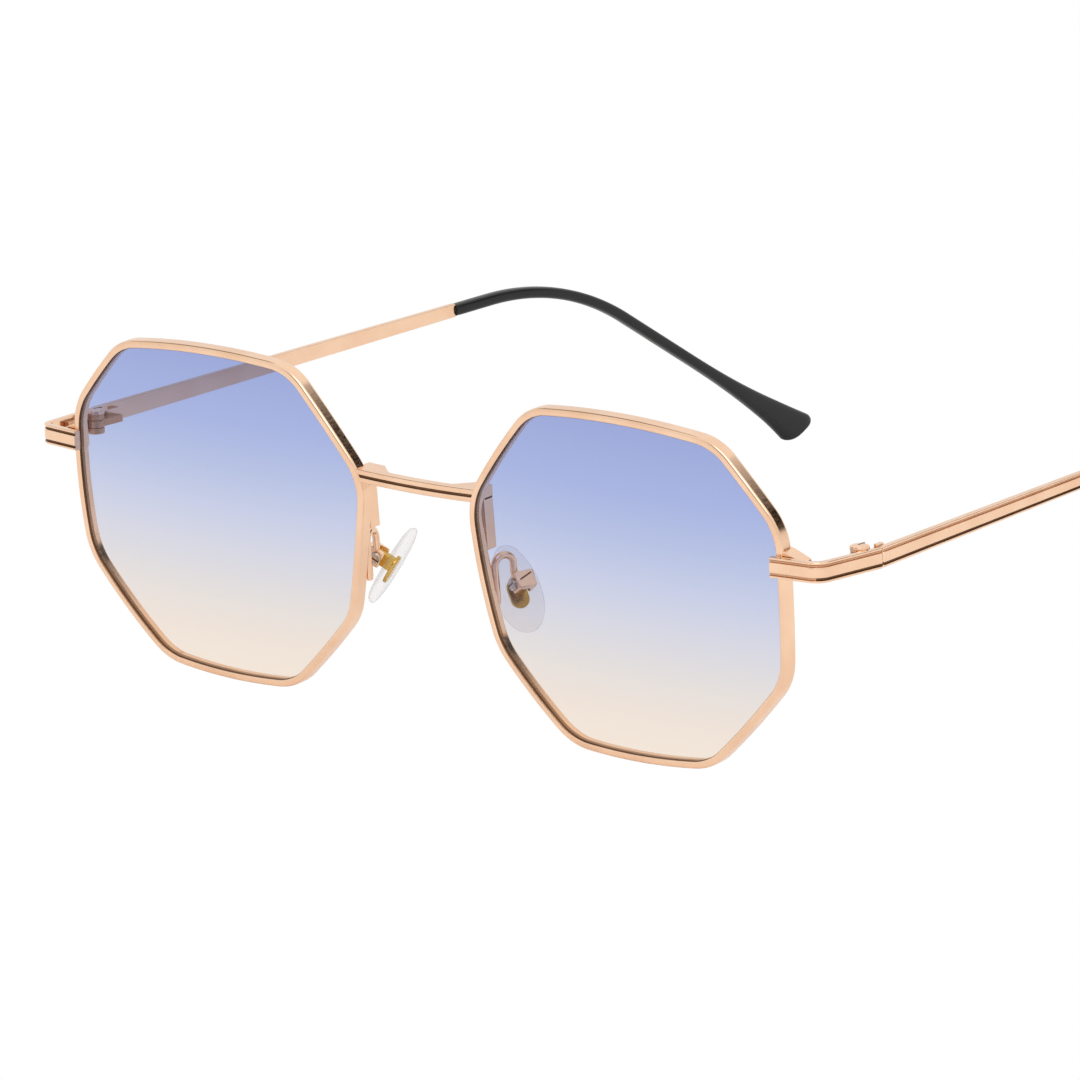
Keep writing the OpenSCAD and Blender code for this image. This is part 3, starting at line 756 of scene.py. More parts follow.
@dataclass(frozen=True)
class Lenses:
    """The two curved panes.

    Attributes:
        thick: Thickness of the pane.
        edge: Distance of its edge from the outline.
        rings: Rings of faces from its centre to its edge.
        side_steps: Steps along each side.
        corner_steps: Steps round each corner.
    """

    thick: float = 1.3
    edge: float = 0.30
    rings: int = 24
    side_steps: int = 20
    corner_steps: int = 10

    def build(self, side: Side) -> list[bpy.types.Object]:
        """Makes one lens of two curved faces, each a hub with rings round it, and a rim between them.

        Args:
            side: The side it sits on.

        Returns:
            The lens.
        """
        skin, rims = Skin(), []
        walk = FRONT.outline(self.side_steps, self.corner_steps)
        count = len(walk)
        for depth in (FRONT.lens_set, FRONT.lens_set + self.thick):
            hub = skin.bm.verts.new(FRONT.on_front(Vector((0, 0)), depth))
            inner: list[bmesh.types.BMVert] = []
            for s in range(1, self.rings + 1):
                spots = [(point - normal * self.edge) * (s / self.rings) for point, normal in walk]
                outer = [skin.bm.verts.new(FRONT.on_front(q, depth)) for q in spots]
                for k in range(count):
                    n = (k + 1) % count
                    near = (inner[n], inner[k]) if inner else (hub,)
                    skin.bm.faces.new((*near, outer[k], outer[n]))
                inner = outer
            rims.append(inner)
        for k in range(count):
            n = (k + 1) % count
            skin.bm.faces.new((rims[0][k], rims[1][k], rims[1][n], rims[0][n]))
        return [skin.finish(f"lens_{side.word}", "pane", side, [Finish.LENS], sharp=40)]


@dataclass(frozen=True)
class Bridge:
    """The bar between the rims with the gussets and legs behind it.

    Attributes:
        z: Height of the bar's ends over the lens centres.
        height: Height of the bar.
        depth: Its depth.
        sag: How far its middle hangs down.
        set_back: How far it lies behind the front of the rims.
        line_h: Half the height of the dark line along it.
        line_d: Depth of that line.
        soft: Radius of its edges.
        steps: Stations along each half of the bar.
        leg_x: Distance of the legs from the middle.
        leg_t: Thickness of a leg.
        leg_d: Its depth.
        leg_soft: Width of its softened edges.
        foot_z: Height of its foot.
        overlap: How far it reaches up into the bar.
        gusset: Length of the gusset beside it.
        inset: How far the gusset lies behind the bar's front.
        straight: Length of the gusset's full end.
        fillet: Radius of the round corner under the gusset.
    """

    z: float = 9.2
    height: float = 1.8
    depth: float = 1.3
    sag: float = 0.25
    set_back: float = 0.3
    line_h: float = 0.19
    line_d: float = 0.22
    soft: float = 0.2
    steps: int = 20
    leg_x: float = 9.8
    leg_t: float = 1.0
    leg_d: float = 1.8
    leg_soft: float = 0.16
    foot_z: float = 1.5
    overlap: float = 0.4
    gusset: float = 4.4
    inset: float = 0.35
    straight: float = 1.8
    fillet: float = 1.1

    @property
    def y(self) -> float:
        """Depth of the bar's front."""
        return FRONT.sag(FRONT.corners[7][0]) + self.set_back

    @property
    def leg_y(self) -> float:
        """Depth of the front of the legs."""
        return FRONT.sag(FRONT.corners[7][0]) + FRONT.wire_d - 0.1

    @property
    def half(self) -> float:
        """Half the length of the bar."""
        return self.leg_x + self.leg_t

    def course(self, x: float) -> tuple[float, float]:
        """Follows the middle of the sagging bar.

        Args:
            x: Distance from the middle.

        Returns:
            Height and heading there.
        """
        radius = (self.half**2 + self.sag**2) / (2 * self.sag)
        a = math.asin(x / radius)
        return self.z - self.sag + radius * (1 - math.cos(a)), a

    def bar(self, skin: Skin) -> None:
        """Adds the bar with the dark line along its front, the groove painted dark as shade.

        Args:
            skin: The mesh that receives it.
        """
        h, d, line, deep = self.height / 2, self.depth, self.line_h, self.line_d
        corners = [(0.0, -h), (0.0, -line), (deep, 0.04 - line), (deep, line - 0.04), (0.0, line), (0.0, h)]
        section = rounded(corners + [(d, h), (d, -h)], self.soft)
        rings = []
        for s in range(-self.steps, self.steps + 1):
            x = (self.half - 0.1) * s / self.steps
            z, a = self.course(x)
            spots = [Vector((x - v * math.sin(a), self.y + u, z + v * math.cos(a))) for u, v in section]
            rings.append([FRONT.plane() @ spot for spot in spots])
        # The line's faces, painted dark as groove shade, run from the round of its first corner to that of
        # its last.
        skin.loft(rings, tone=lambda _, k: 1 if 6 <= k <= 16 else 0)

    def rear(self, skin: Skin, place: Matrix) -> None:
        """Adds the gusset, the leg and the round corner between them on one side.

        Args:
            skin: The mesh that receives them.
            place: Where they go.
        """
        x0, back, front = self.leg_x, self.leg_y + self.leg_d, self.y + self.depth
        near = self.y + self.inset
        stations = []
        for s in range(9):
            share = s / 8
            x = x0 - self.gusset + (self.gusset - self.straight) * share
            stations.append((x, near, front + (back - front) * share**1.15))
        stations += [(x0 - self.straight / 2, near, back), (x0, near, back), (self.half, self.leg_y, back)]
        rings = []
        for x, low, high in stations:
            z, h = self.course(x)[0], self.height / 2 - 0.01
            corners = [(low, z - h), (high, z - h), (high, z + h), (low, z + h)]
            rings.append([place @ Vector((x, y, up)) for y, up in rounded(corners, self.soft)])
        skin.loft(rings)
        under = self.z - self.height / 2
        head = (self.half, back, under + self.overlap)
        skin.block((x0, self.leg_y, self.foot_z), head, place, self.leg_soft)
        r = self.fillet
        outline = [(0.1, 0.0), (0.1, r + 0.1), (-r, r + 0.1)]
        for s in range(9):
            a = math.pi / 2 * (1 - s / 8)
            outline.append((-r + r * math.cos(a), r * math.sin(a)))
        corner = Matrix.Translation((x0, back - 0.05, under - r)) @ Matrix.Rotation(math.pi / 2, 4, "X")
        skin.prism(outline, 0.0, self.leg_d - 0.1, place @ corner)

    def build(self) -> list[bpy.types.Object]:
        """Makes the bridge.

        Returns:
            The bridge.
        """
        skin = Skin()
        self.bar(skin)
        for side in Side:
            self.rear(skin, FRONT.plane() @ Matrix.Scale(side.value, 4, (1, 0, 0)))
        return [skin.finish("bridge", "bar", Side.LEFT, [Finish.GOLD, Finish.GROOVE])]


# End pieces, hinges and temples.


@dataclass(frozen=True)
class StripSection:
    """Section of the grooved strip: a broad band between two grooves with thin ridges outside them.

    Attributes:
        ridge: Height of each outer ridge, at the hinge.
        groove: Height of each groove, at the hinge.
        deep: Depth of the grooves.
        full: Height of the strip at the hinge.
        soft: How far the section is drawn in at the joint's end.
    """

    ridge: float = 0.34
    groove: float = 0.31
    deep: float = 0.2
    full: float = 2.7
    soft: float = 0.14

    def points(self, height: float, thick: float, at_joint: bool = False) -> list[Point]:
        """Gives the section as depth from the outer face and height, with rounded edges.

        Args:
            height: Height of the strip there.
            thick: Its thickness.
            at_joint: Whether the whole section is drawn in, which softens the strip's end.

        Returns:
            The points, from the foot of the inner face up the outer side.
        """
        share = height / self.full
        h, ridge, groove = height / 2, self.ridge * share, self.groove * share
        foot = [(thick, 0.12 - h), (thick - 0.04, 0.04 - h), (thick - 0.12, -h)]
        foot += [(0.16, -h), (0.06, 0.03 - h), (0.02, 0.08 - h)]
        low, high = ridge - h, ridge + groove - h
        foot += [(0.02, low - 0.05), (0.08, low), (self.deep, low + 0.08), (self.deep, high - 0.04)]
        foot += [(0.1, high), (0.02, high + 0.04), (0.0, high + 0.1)]
        points = foot + [(u, -v) for u, v in reversed(foot)]
        if at_joint:
            middle, narrow = thick / 2, 1 - 2 * self.soft / thick
            points = [(middle + (u - middle) * narrow, v * (1 - self.soft / h)) for u, v in points]
        return points

    @staticmethod
    def tone(ring: int, k: int) -> int:
        """Gives the finish of a face: painted dark shade in the lower groove, painted half shade in the upper
        one.

        Args:
            ring: Index of the ring, which makes no difference.
            k: Index of the face's first point.

        Returns:
            The finish index.
        """
        return 1 if 6 <= k <= 10 else 2 if 15 <= k <= 18 else 0


SECTION = StripSection()


@dataclass(frozen=True)
class StripSizes:
    """Sizes of the end pieces, hinges and temples, as in the CAD model.

    Attributes:
        corner_x: Distance of the outer corners from the middle.
        thick: Thickness of the strips.
        height: Their height at the hinge.
        end_height: Their height where the tips start.
        bend_r: Radius of the bend at the outer corner.
        front_slope: How far the end piece runs back in front, in degrees.
        flare: How far it turns outwards beside the hinge, in degrees.
        butt_y: Distance of the joint between the strips from the hinge axis.
        knuckle_r: Radius of the knuckles.
        knuckle_h: Height of all three knuckles.
        drop: How far the hinge lies below the middle of the strip.
        middle_h: Height of the middle knuckle.
        plate_h: Height of the front leaf.
        plate_t: Thickness of the leaves.
        screw_r: Radius of the hinge screw.
        turn: How far the temple turns inwards, in degrees.
        rise: How far it rises to the rear, in degrees.
        length: Length of the strip.
        run: Room between moving parts.
        clear: Room between the knuckles and the end piece.
    """

    corner_x: float = 68.9
    thick: float = 0.95
    height: float = 2.7
    end_height: float = 1.9
    bend_r: float = 2.2
    front_slope: float = 7.0
    flare: float = 6.0
    butt_y: float = 1.7
    knuckle_r: float = 1.2
    knuckle_h: float = 2.7
    drop: float = 0.3
    middle_h: float = 1.0
    plate_h: float = 2.3
    plate_t: float = 0.75
    screw_r: float = 0.6
    turn: float = 1.75
    rise: float = 1.95
    length: float = 73.0
    run: float = 0.05
    clear: float = 0.08

    @property
    def hinge_h(self) -> float:
        """Height of the middle of the hinge."""
        return FRONT.lens_h + FRONT.end_z

    @property
    def end_x(self) -> float:
        """Where the end piece starts on the rim."""
        return FRONT.lens_x + FRONT.corners[2][0] - FRONT.wire_w / 2

    @property
    def end_y(self) -> float:
        """Depth of the end piece's front where it starts."""
        lean = math.radians(FRONT.lean)
        return FRONT.sag(FRONT.corners[2][0]) * math.cos(lean) - FRONT.end_z * math.sin(lean) - self.thick

    @property
    def bend(self) -> Vector:
        """Centre of the bend at the outer corner, in plan."""
        slope = math.radians(self.front_slope)
        x = self.corner_x - self.bend_r
        return Vector((x, self.end_y + (x - self.end_x) * math.tan(slope) + self.bend_r / math.cos(slope)))

    @property
    def outer_x(self) -> float:
        """Outer face of the end piece beside the hinge axis."""
        flare = math.radians(self.flare)
        return self.bend.x + self.bend_r / math.cos(flare) + (FRONT.hinge_y - self.bend.y) * math.tan(flare)

    @property
    def inner_x(self) -> float:
        """Inner face of the end piece beside the hinge axis."""
        return self.outer_x - self.thick / math.cos(math.radians(self.flare))

    @property
    def hinge_x(self) -> float:
        """Distance of the hinge axis from the plane of symmetry."""
        return self.inner_x - self.knuckle_r - self.clear

    @property
    def strip_outer(self) -> float:
        """Outer face of the temple strip in the temple's frame."""
        flared = self.butt_y * math.tan(math.radians(self.flare))
        turned = (self.butt_y + 1) * math.tan(math.radians(self.turn))
        return self.outer_x - self.hinge_x + flared + turned

    def hinge(self) -> Matrix:
        """Gives the place of the hinge, its axis upright."""
        return Matrix.Translation((self.hinge_x, FRONT.hinge_y + FRONT.table_y, self.hinge_h))

    def temple(self) -> Matrix:
        """Gives the temple's own frame: origin on the hinge axis, +Y along the strip."""
        turn = Matrix.Rotation(math.radians(self.turn), 4, "Z")
        return self.hinge() @ turn @ Matrix.Rotation(math.radians(self.rise), 4, "X")


STRIP = StripSizes()


@dataclass(frozen=True)
class EndPieces:
    """The bent strips from the rims to the hinges, with steps along each straight and round the bend."""

    straight_steps: int = 8
    bend_steps: int = 16

    def stations(self) -> list[tuple[Vector, Vector]]:
        """Walks the outer face in plan, from the rim to the joint with the temple.

        Returns:
            Points and inward directions.
        """
        slope, flare = math.radians(STRIP.front_slope), math.radians(STRIP.flare)
        across = Vector((-math.sin(slope), math.cos(slope)))
        along = Vector((math.sin(flare), math.cos(flare)))
        start, first = Vector((STRIP.end_x, STRIP.end_y)), STRIP.bend - across * STRIP.bend_r
        walk = [(start.lerp(first, s / self.straight_steps), across) for s in range(self.straight_steps)]
        a0, a1 = slope - math.pi / 2, -flare
        for s in range(self.bend_steps + 1):
            a = a0 + (a1 - a0) * s / self.bend_steps
            out = Vector((math.cos(a), math.sin(a)))
            walk.append((STRIP.bend + out * STRIP.bend_r, -out))
        last, inward = walk[-1]
        reach = (FRONT.hinge_y + STRIP.butt_y - last.y) / along.y
        for s in range(1, self.straight_steps + 1):
            walk.append((last + along * (reach - 0.12) * s / self.straight_steps, inward))
        return walk + [(last + along * reach, inward)]

    @staticmethod
    def tone(i: int, k: int) -> int:
        """Gives the finish of a face: the painted shade in the lower groove turns dark behind the bend.

        Args:
            i: Index of the station.
            k: Index of the face's first point.

        Returns:
            The finish index.
        """
        kind = SECTION.tone(i, k)
        return 2 if kind == 1 and i < 14 else kind

    def build(self, side: Side) -> list[bpy.types.Object]:
        """Makes one end piece, its rear end cut straight across at the joint.

        Args:
            side: The side it sits on.

        Returns:
            The end piece.
        """
        rings, walk = [], self.stations()
        flare = math.tan(math.radians(STRIP.flare))
        for i, (point, inside) in enumerate(walk):
            ring, at_joint = [], i == len(walk) - 1
            for u, v in SECTION.points(STRIP.height, STRIP.thick, at_joint):
                q = point + inside * u
                if at_joint:
                    short = FRONT.hinge_y + STRIP.butt_y - q.y
                    q += Vector((flare, 1)) * short
                ring.append(Vector((q.x, q.y + FRONT.table_y, STRIP.hinge_h + v)))
            rings.append(ring)
        skin = Skin()
        skin.loft(rings, tone=self.tone)
        # Painted shade in the grooves: on the left the upper groove and the lower one before the bend are
        # painted half dark, on the right they are all painted full dark.
        finishes = [Finish.GOLD, Finish.GROOVE, Finish.LINE if side == Side.LEFT else Finish.GROOVE]
        return [skin.finish(f"end_piece_{side.word}", "strip", side, finishes)]


@dataclass(frozen=True)
class ClosingBlocks:
    """The split blocks that close the rims, with their screws.

    Attributes:
        width: Width of a block.
        depth: Its depth.
        height: Height of its upper half at the rim.
        under: Height of its lower half there.
        slit: Width of the slit between them.
        upper_taper: How far the upper half's front falls back outwards, and the share of its height lost.
        lower_taper: The same for the lower half.
        screw_r: Radius of the screw.
        head_r: Radius of its head.
        head_h: Height of its head.
        soft: How far the outer end is drawn in.
    """

    width: float = 3.0
    depth: float = 2.2
    height: float = 1.9
    under: float = 1.6
    slit: float = 0.1
    upper_taper: Point = (0.28, 0.62)
    lower_taper: Point = (0.14, 0.1)
    screw_r: float = 0.55
    head_r: float = 0.9
    head_h: float = 0.3
    soft: float = 0.1

    def place(self) -> Matrix:
        """Gives the place of a block, its origin on the rim at the foot of its front face."""
        x = FRONT.lens_x + FRONT.corners[2][0] + FRONT.wire_w / 2 + GAP
        return FRONT.plane() @ Matrix.Translation((x, FRONT.sag(FRONT.corners[2][0]) + 0.4, FRONT.end_z))

    def half(self, side: Side, word: str) -> bpy.types.Object:
        """Makes one half of a block, tapered outwards.

        Args:
            side: The side it sits on.
            word: Either upper or lower.

        Returns:
            The half.
        """
        rings, upper = [], word == "upper"
        for t in (-0.3, 0.4, 1.2, 2.1, self.width - 0.12, self.width):
            share = max(t, 0.0) / self.width
            near, loss = (part * share for part in (self.upper_taper if upper else self.lower_taper))
            low = self.slit / 2 if upper else -self.under * (1 - loss)
            high = self.height * (1 - loss) if upper else -self.slit / 2
            trim = self.soft if t == self.width else 0.0
            front, back, low, high = near + 0.02 + trim, self.depth - trim, low + trim, high - trim
            ring = rounded([(front, low), (back, low), (back, high), (front, high)], 0.14)
            rings.append([self.place() @ Vector((t, v, w)) for v, w in ring])
        skin = Skin()
        skin.loft(rings)
        return skin.finish(f"block_{word}_{side.word}", "half", side, [Finish.GOLD])

    def build(self, side: Side) -> list[bpy.types.Object]:
        """Makes the two halves and the screw of one closing block.

        Args:
            side: The side they sit on.

        Returns:
            The pieces.
        """
        halves = [self.half(side, word) for word in ("upper", "lower")]
        centre = self.place() @ Matrix.Translation((self.width / 2, self.depth / 2, 0))
        foot, s, head = -self.under - GAP, self.screw_r, self.head_r
        base = foot - self.head_h
        profile = [(0.4, base), (head - 0.08, base), (head, base + 0.08), (head, foot), (s, foot)]
        screw = Skin()
        screw.turn(profile + [(s, 0.9), (s - 0.1, 1.0)], centre)
        return halves + [screw.finish(f"rim_screw_{side.word}", "turned", side, [Finish.STEEL])]


@dataclass(frozen=True)
class Hinges:
    """The two leaves and the screw of each hinge.

    Attributes:
        soft: Width of the chamfers of the knuckles.
        play: Room between the screw and the middle knuckle.
        slot_turn: Turn of the screw's slot, in degrees.
        slot_w: Half the width of the slot.
        leaf_y: Where the front leaf's plate starts and ends along the end piece.
        neck_y: Where its necks start and end.
        rear_l: Length of the rear leaf's plate behind the joint.
        rear_z: Height of that plate's foot and top.
        hump_l: Length of the hump on it.
        hump_z: Height of the hump's foot and top.
        shank_l: Length of the shank behind the joint.
    """

    soft: float = 0.08
    play: float = 0.06
    slot_turn: float = 98.0
    slot_w: float = 0.14
    leaf_y: Point = (-5.4, -1.3)
    neck_y: Point = (-1.5, 0.9)
    rear_l: float = 3.6
    rear_z: Point = (-0.75, 1.1)
    hump_l: float = 1.5
    hump_z: Point = (0.0, 1.85)
    shank_l: float = 2.8

    def place(self) -> Matrix:
        """Gives the place of the hinge, its origin in the middle knuckle."""
        return STRIP.hinge() @ Matrix.Translation((0, 0, -STRIP.drop))

    def knuckle(self, core: float, low: float, high: float) -> list[Point]:
        """Gives the section of a knuckle.

        Args:
            core: Inner radius of the section.
            low: Height of its foot.
            high: Height of its top.

        Returns:
            Radius and height of its corners.
        """
        r, cut = STRIP.knuckle_r, self.soft
        return [(core, low), (r - cut, low), (r, low + cut), (r, high - cut), (r - cut, high), (core, high)]

    def front_leaf(self, side: Side) -> bpy.types.Object:
        """Makes the front leaf with its upper and lower knuckle.

        Args:
            side: The side it sits on.

        Returns:
            The leaf.
        """
        place, r, tall = self.place(), STRIP.knuckle_r, STRIP.plate_h / 2
        low, top = STRIP.middle_h / 2 + STRIP.run, STRIP.knuckle_h / 2
        skin = Skin()
        for a, b in ((low, top), (-top, -low)):
            skin.turn(self.knuckle(r - 0.5, a, b), place)
        leaf = Matrix.Translation((STRIP.inner_x - GAP - STRIP.hinge_x, 0, 0))
        seat = place @ leaf @ Matrix.Rotation(-math.radians(STRIP.flare), 4, "Z")
        skin.block((-STRIP.plate_t, self.leaf_y[0], -tall), (0, self.leaf_y[1], tall), seat, 0.1)
        for a, b in ((low, tall), (-tall, -low)):
            skin.block((-STRIP.plate_t, self.neck_y[0], a), (0, self.neck_y[1], b), seat, 0.06)
            skin.block((0, -r, a), (r - 0.1, r, b), place, 0.04)
        # The whole leaf is painted half dark as the shade of the knuckles' dim reflections of each other.
        return skin.finish(f"hinge_front_{side.word}", "leaf", side, [Finish.LINE])

    def rear_leaf(self, side: Side) -> bpy.types.Object:
        """Makes the rear leaf: the bored middle knuckle, its shank, the plate and the hump on it.

        Args:
            side: The side it sits on.

        Returns:
            The leaf.
        """
        place, bore, m = self.place(), STRIP.screw_r + self.play, STRIP.middle_h / 2
        inner, near = STRIP.strip_outer - STRIP.thick - GAP, STRIP.butt_y + 0.12
        seat = STRIP.temple() @ Matrix.Translation((0, 0, -STRIP.drop))
        skin = Skin()
        skin.turn(self.knuckle(bore, -m, m), place, bored=True)
        for length, (low, high), edge in ((self.rear_l, self.rear_z, 0.1), (self.hump_l, self.hump_z, 0.2)):
            end = (inner, STRIP.butt_y + length, high)
            skin.block((inner - STRIP.plate_t, near, low), end, seat, edge, tone=1)
        reach = STRIP.inner_x - GAP - STRIP.hinge_x - 0.15
        skin.block((-0.8, bore, -m), (reach, STRIP.butt_y + self.shank_l, m), place, self.soft)
        # The knuckle and shank are painted half dark as shade; the plates keep the plain gold.
        finishes = [Finish.LINE, Finish.GOLD]
        return skin.finish(f"hinge_rear_{side.word}", "leaf", side, finishes, f"temple_{side.word}")

    def screw(self, side: Side) -> bpy.types.Object:
        """Makes the screw with its domed, slotted head, the slot a dark block painted as its shade.

        Args:
            side: The side it sits on.

        Returns:
            The screw.
        """
        s, r, top = STRIP.screw_r, STRIP.knuckle_r, STRIP.knuckle_h / 2
        head = top + GAP
        profile = [(s - 0.1, -top), (s, 0.1 - top), (s, head), (r + 0.06, head), (r + 0.1, head + 0.05)]
        profile += [(r + 0.1, head + 0.4), (r + 0.05, head + 0.52), (r - 0.1, head + 0.62)]
        skin = Skin()
        skin.turn(profile + [(r - 0.4, head + 0.7), (0.3, head + 0.72)], self.place())
        slot = self.place() @ Matrix.Rotation(math.radians(self.slot_turn), 4, "Z")
        # The slot is a dark block laid into the head: painted shade.
        skin.block((-0.3, -self.slot_w, head + 0.4), (1.1, self.slot_w, head + 0.73), slot, tone=1)
        return skin.finish(f"hinge_screw_{side.word}", "turned", side, [Finish.GOLD, Finish.GROOVE])

    def build(self, side: Side) -> list[bpy.types.Object]:
        """Makes one hinge: the front leaf, the rear leaf and the screw."""
        return [self.front_leaf(side), self.rear_leaf(side), self.screw(side)]


def corner_cut(radius: float, left: float) -> float:
    """Gives how far a rounded corner cuts back a side.

    Args:
        radius: Radius of the corner.
        left: Distance from the end.

    Returns:
        The cut there.
    """
    return radius - math.sqrt(radius**2 - (radius - max(left, 0.0)) ** 2) if left < radius else 0.0


def ease(t: float) -> float:
    """Steps smoothly from 0 to 1 as t does."""
    u = min(max(t, 0.0), 1.0)
    return u * u * (3 - 2 * u)


@dataclass(frozen=True)
class TipSizes:
    """Sizes of the dark tip, as in the CAD model.

    Attributes:
        straight: Length of its straight start.
        ear_r: Radius of the bend behind the ear.
        angle: Angle of that bend, in degrees.
        drop: Length behind the bend.
        start_h: Height at its start.
        slim_h: Height where it is slimmest.
        slim_s: Distance of that from its start.
        paddle_h: Height of the paddle.
        paddle_l: Length of the paddle.
        flare: Power by which it widens towards its end.
        end_skew: How far the end is cut aslant.
        end_r: Radius of the end's corners.
        thick: Thickness.
        trim: Share of its height that is kept, a little less at its start.
    """

    straight: float = 7.5
    ear_r: float = 50.0
    angle: float = 34.07
    drop: float = 45.6
    start_h: float = 1.8
    slim_h: float = 1.7
    slim_s: float = 25.0
    paddle_h: float = 6.2
    paddle_l: float = 29.0
    flare: float = 2.26
    end_skew: float = 1.9
    end_r: float = 2.0
    thick: float = 1.9
    trim: Point = (0.968, 0.93)

    @property
    def arc(self) -> float:
        """Length of the bend behind the ear."""
        return self.ear_r * math.radians(self.angle)

    @property
    def length(self) -> float:
        """Length along the tip."""
        return self.straight + self.arc + self.drop

    def point(self, s: float) -> tuple[float, float, float]:
        """Walks the tip's centreline.

        Args:
            s: Distance from the tip's start.

        Returns:
            Distance along the temple, height and heading.
        """
        a = min(max(s - self.straight, 0.0), self.arc) / self.ear_r
        rest = max(s - self.straight - self.arc, 0.0)
        along = STRIP.length + min(s, self.straight) + self.ear_r * math.sin(a) + rest * math.cos(a)
        return along, -self.ear_r * (1 - math.cos(a)) - rest * math.sin(a), a

    def half(self, s: float) -> float:
        """Gives half the tip's height.

        Args:
            s: Distance from the tip's start.

        Returns:
            Half the height there.
        """
        slim = self.start_h + (self.slim_h - self.start_h) * ease(s / self.slim_s)
        share = (max(s - self.length + self.paddle_l, 0.0) / self.paddle_l) ** self.flare
        return (slim + (self.paddle_h - slim) * share) / 2 - corner_cut(self.end_r, self.length - s)

    def wide(self, s: float) -> float:
        """Gives half the tip's thickness.

        Args:
            s: Distance from the tip's start.

        Returns:
            Half the thickness there.
        """
        return self.thick / 2 * min(1.0, 0.55 + self.half(s) / self.thick) - corner_cut(0.4, self.length - s)

    def edge(self, s: float, share: float) -> Point:
        """Places a point of the tip at a share of its height, the end cut aslant.

        Args:
            s: Distance from the tip's start.
            share: Share of half the height, from -1 below to 1 above.

        Returns:
            Distance along the temple and height.
        """
        along, up, heading = self.point(s)
        v = share * self.half(s)
        on = v / (self.paddle_h / 2) * self.end_skew * ease((s - self.length + 10) / 10)
        c, d = math.cos(heading), math.sin(heading)
        return along + v * d + on * c, up + v * c - on * d


@dataclass(frozen=True)
class Temples:
    """The grooved strips and their dark tips.

    Attributes:
        tip: Sizes of the tips.
        strip_steps: Stations along a strip.
        tip_steps: Stations along a tip, closer towards its end.
        round_steps: Points round a tip.
        crowd: Power by which the tip's stations draw together at its end.
        square: Power that makes its section fuller than an ellipse.
    """

    tip: TipSizes = TipSizes()
    strip_steps: int = 31
    tip_steps: int = 110
    round_steps: int = 32
    crowd: float = 1.6
    square: float = 0.7

    def strip(self, side: Side) -> bpy.types.Object:
        """Makes one temple strip, its front end cut straight across at the joint.

        Args:
            side: The side it sits on.

        Returns:
            The strip.
        """
        joint = FRONT.hinge_y + STRIP.butt_y + STRIP.run + FRONT.table_y
        stretch = STRIP.length - STRIP.butt_y
        walk = [0.0, 0.13] + [stretch * s / self.strip_steps for s in range(1, self.strip_steps + 1)]
        rings = []
        for i, reach in enumerate(walk):
            y, ring = STRIP.butt_y + reach, []
            height = STRIP.height + (STRIP.end_height - STRIP.height) * y / STRIP.length
            for u, v in SECTION.points(height, STRIP.thick, i == 0):
                p = STRIP.temple() @ Vector((STRIP.strip_outer - u, y, v))
                if i == 0:
                    p.y = joint
                ring.append(p)
            rings.append(ring)
        skin = Skin()
        skin.loft(rings, tone=SECTION.tone)
        # Painted dark shade in the lower groove, painted half shade in the upper one.
        finishes = [Finish.GOLD, Finish.GROOVE, Finish.LINE]
        return skin.finish(f"temple_{side.word}", "strip", side, finishes, f"temple_{side.word}")

    def cover(self, side: Side) -> bpy.types.Object:
        """Makes one dark tip.

        Args:
            side: The side it sits on.

        Returns:
            The tip.
        """
        middle = STRIP.strip_outer - STRIP.thick / 2
        kept, kept_start = self.tip.trim
        rings = []
        for i in range(self.tip_steps + 1):
            s = GAP + (self.tip.length - GAP) * (1 - (1 - i / self.tip_steps) ** self.crowd)
            wide = self.tip.wide(s) * (kept_start if i == 0 else 1.0)
            ring = []
            for c, d in circle(self.round_steps):
                u = math.copysign(abs(c) ** self.square, c) * wide
                share = math.copysign(abs(d) ** self.square, d) * (kept_start if i == 0 else kept)
                ring.append(STRIP.temple() @ Vector((middle + u, *self.tip.edge(s, share))))
            rings.append(ring)
        skin = Skin()
        skin.loft(rings)
        return skin.finish(f"temple_tip_{side.word}", "cover", side, [Finish.TIP], f"temple_{side.word}", 50)

    def build(self, side: Side) -> list[bpy.types.Object]:
        """Makes one strip and its tip."""
        return [self.strip(side), self.cover(side)]


# Nose pads.


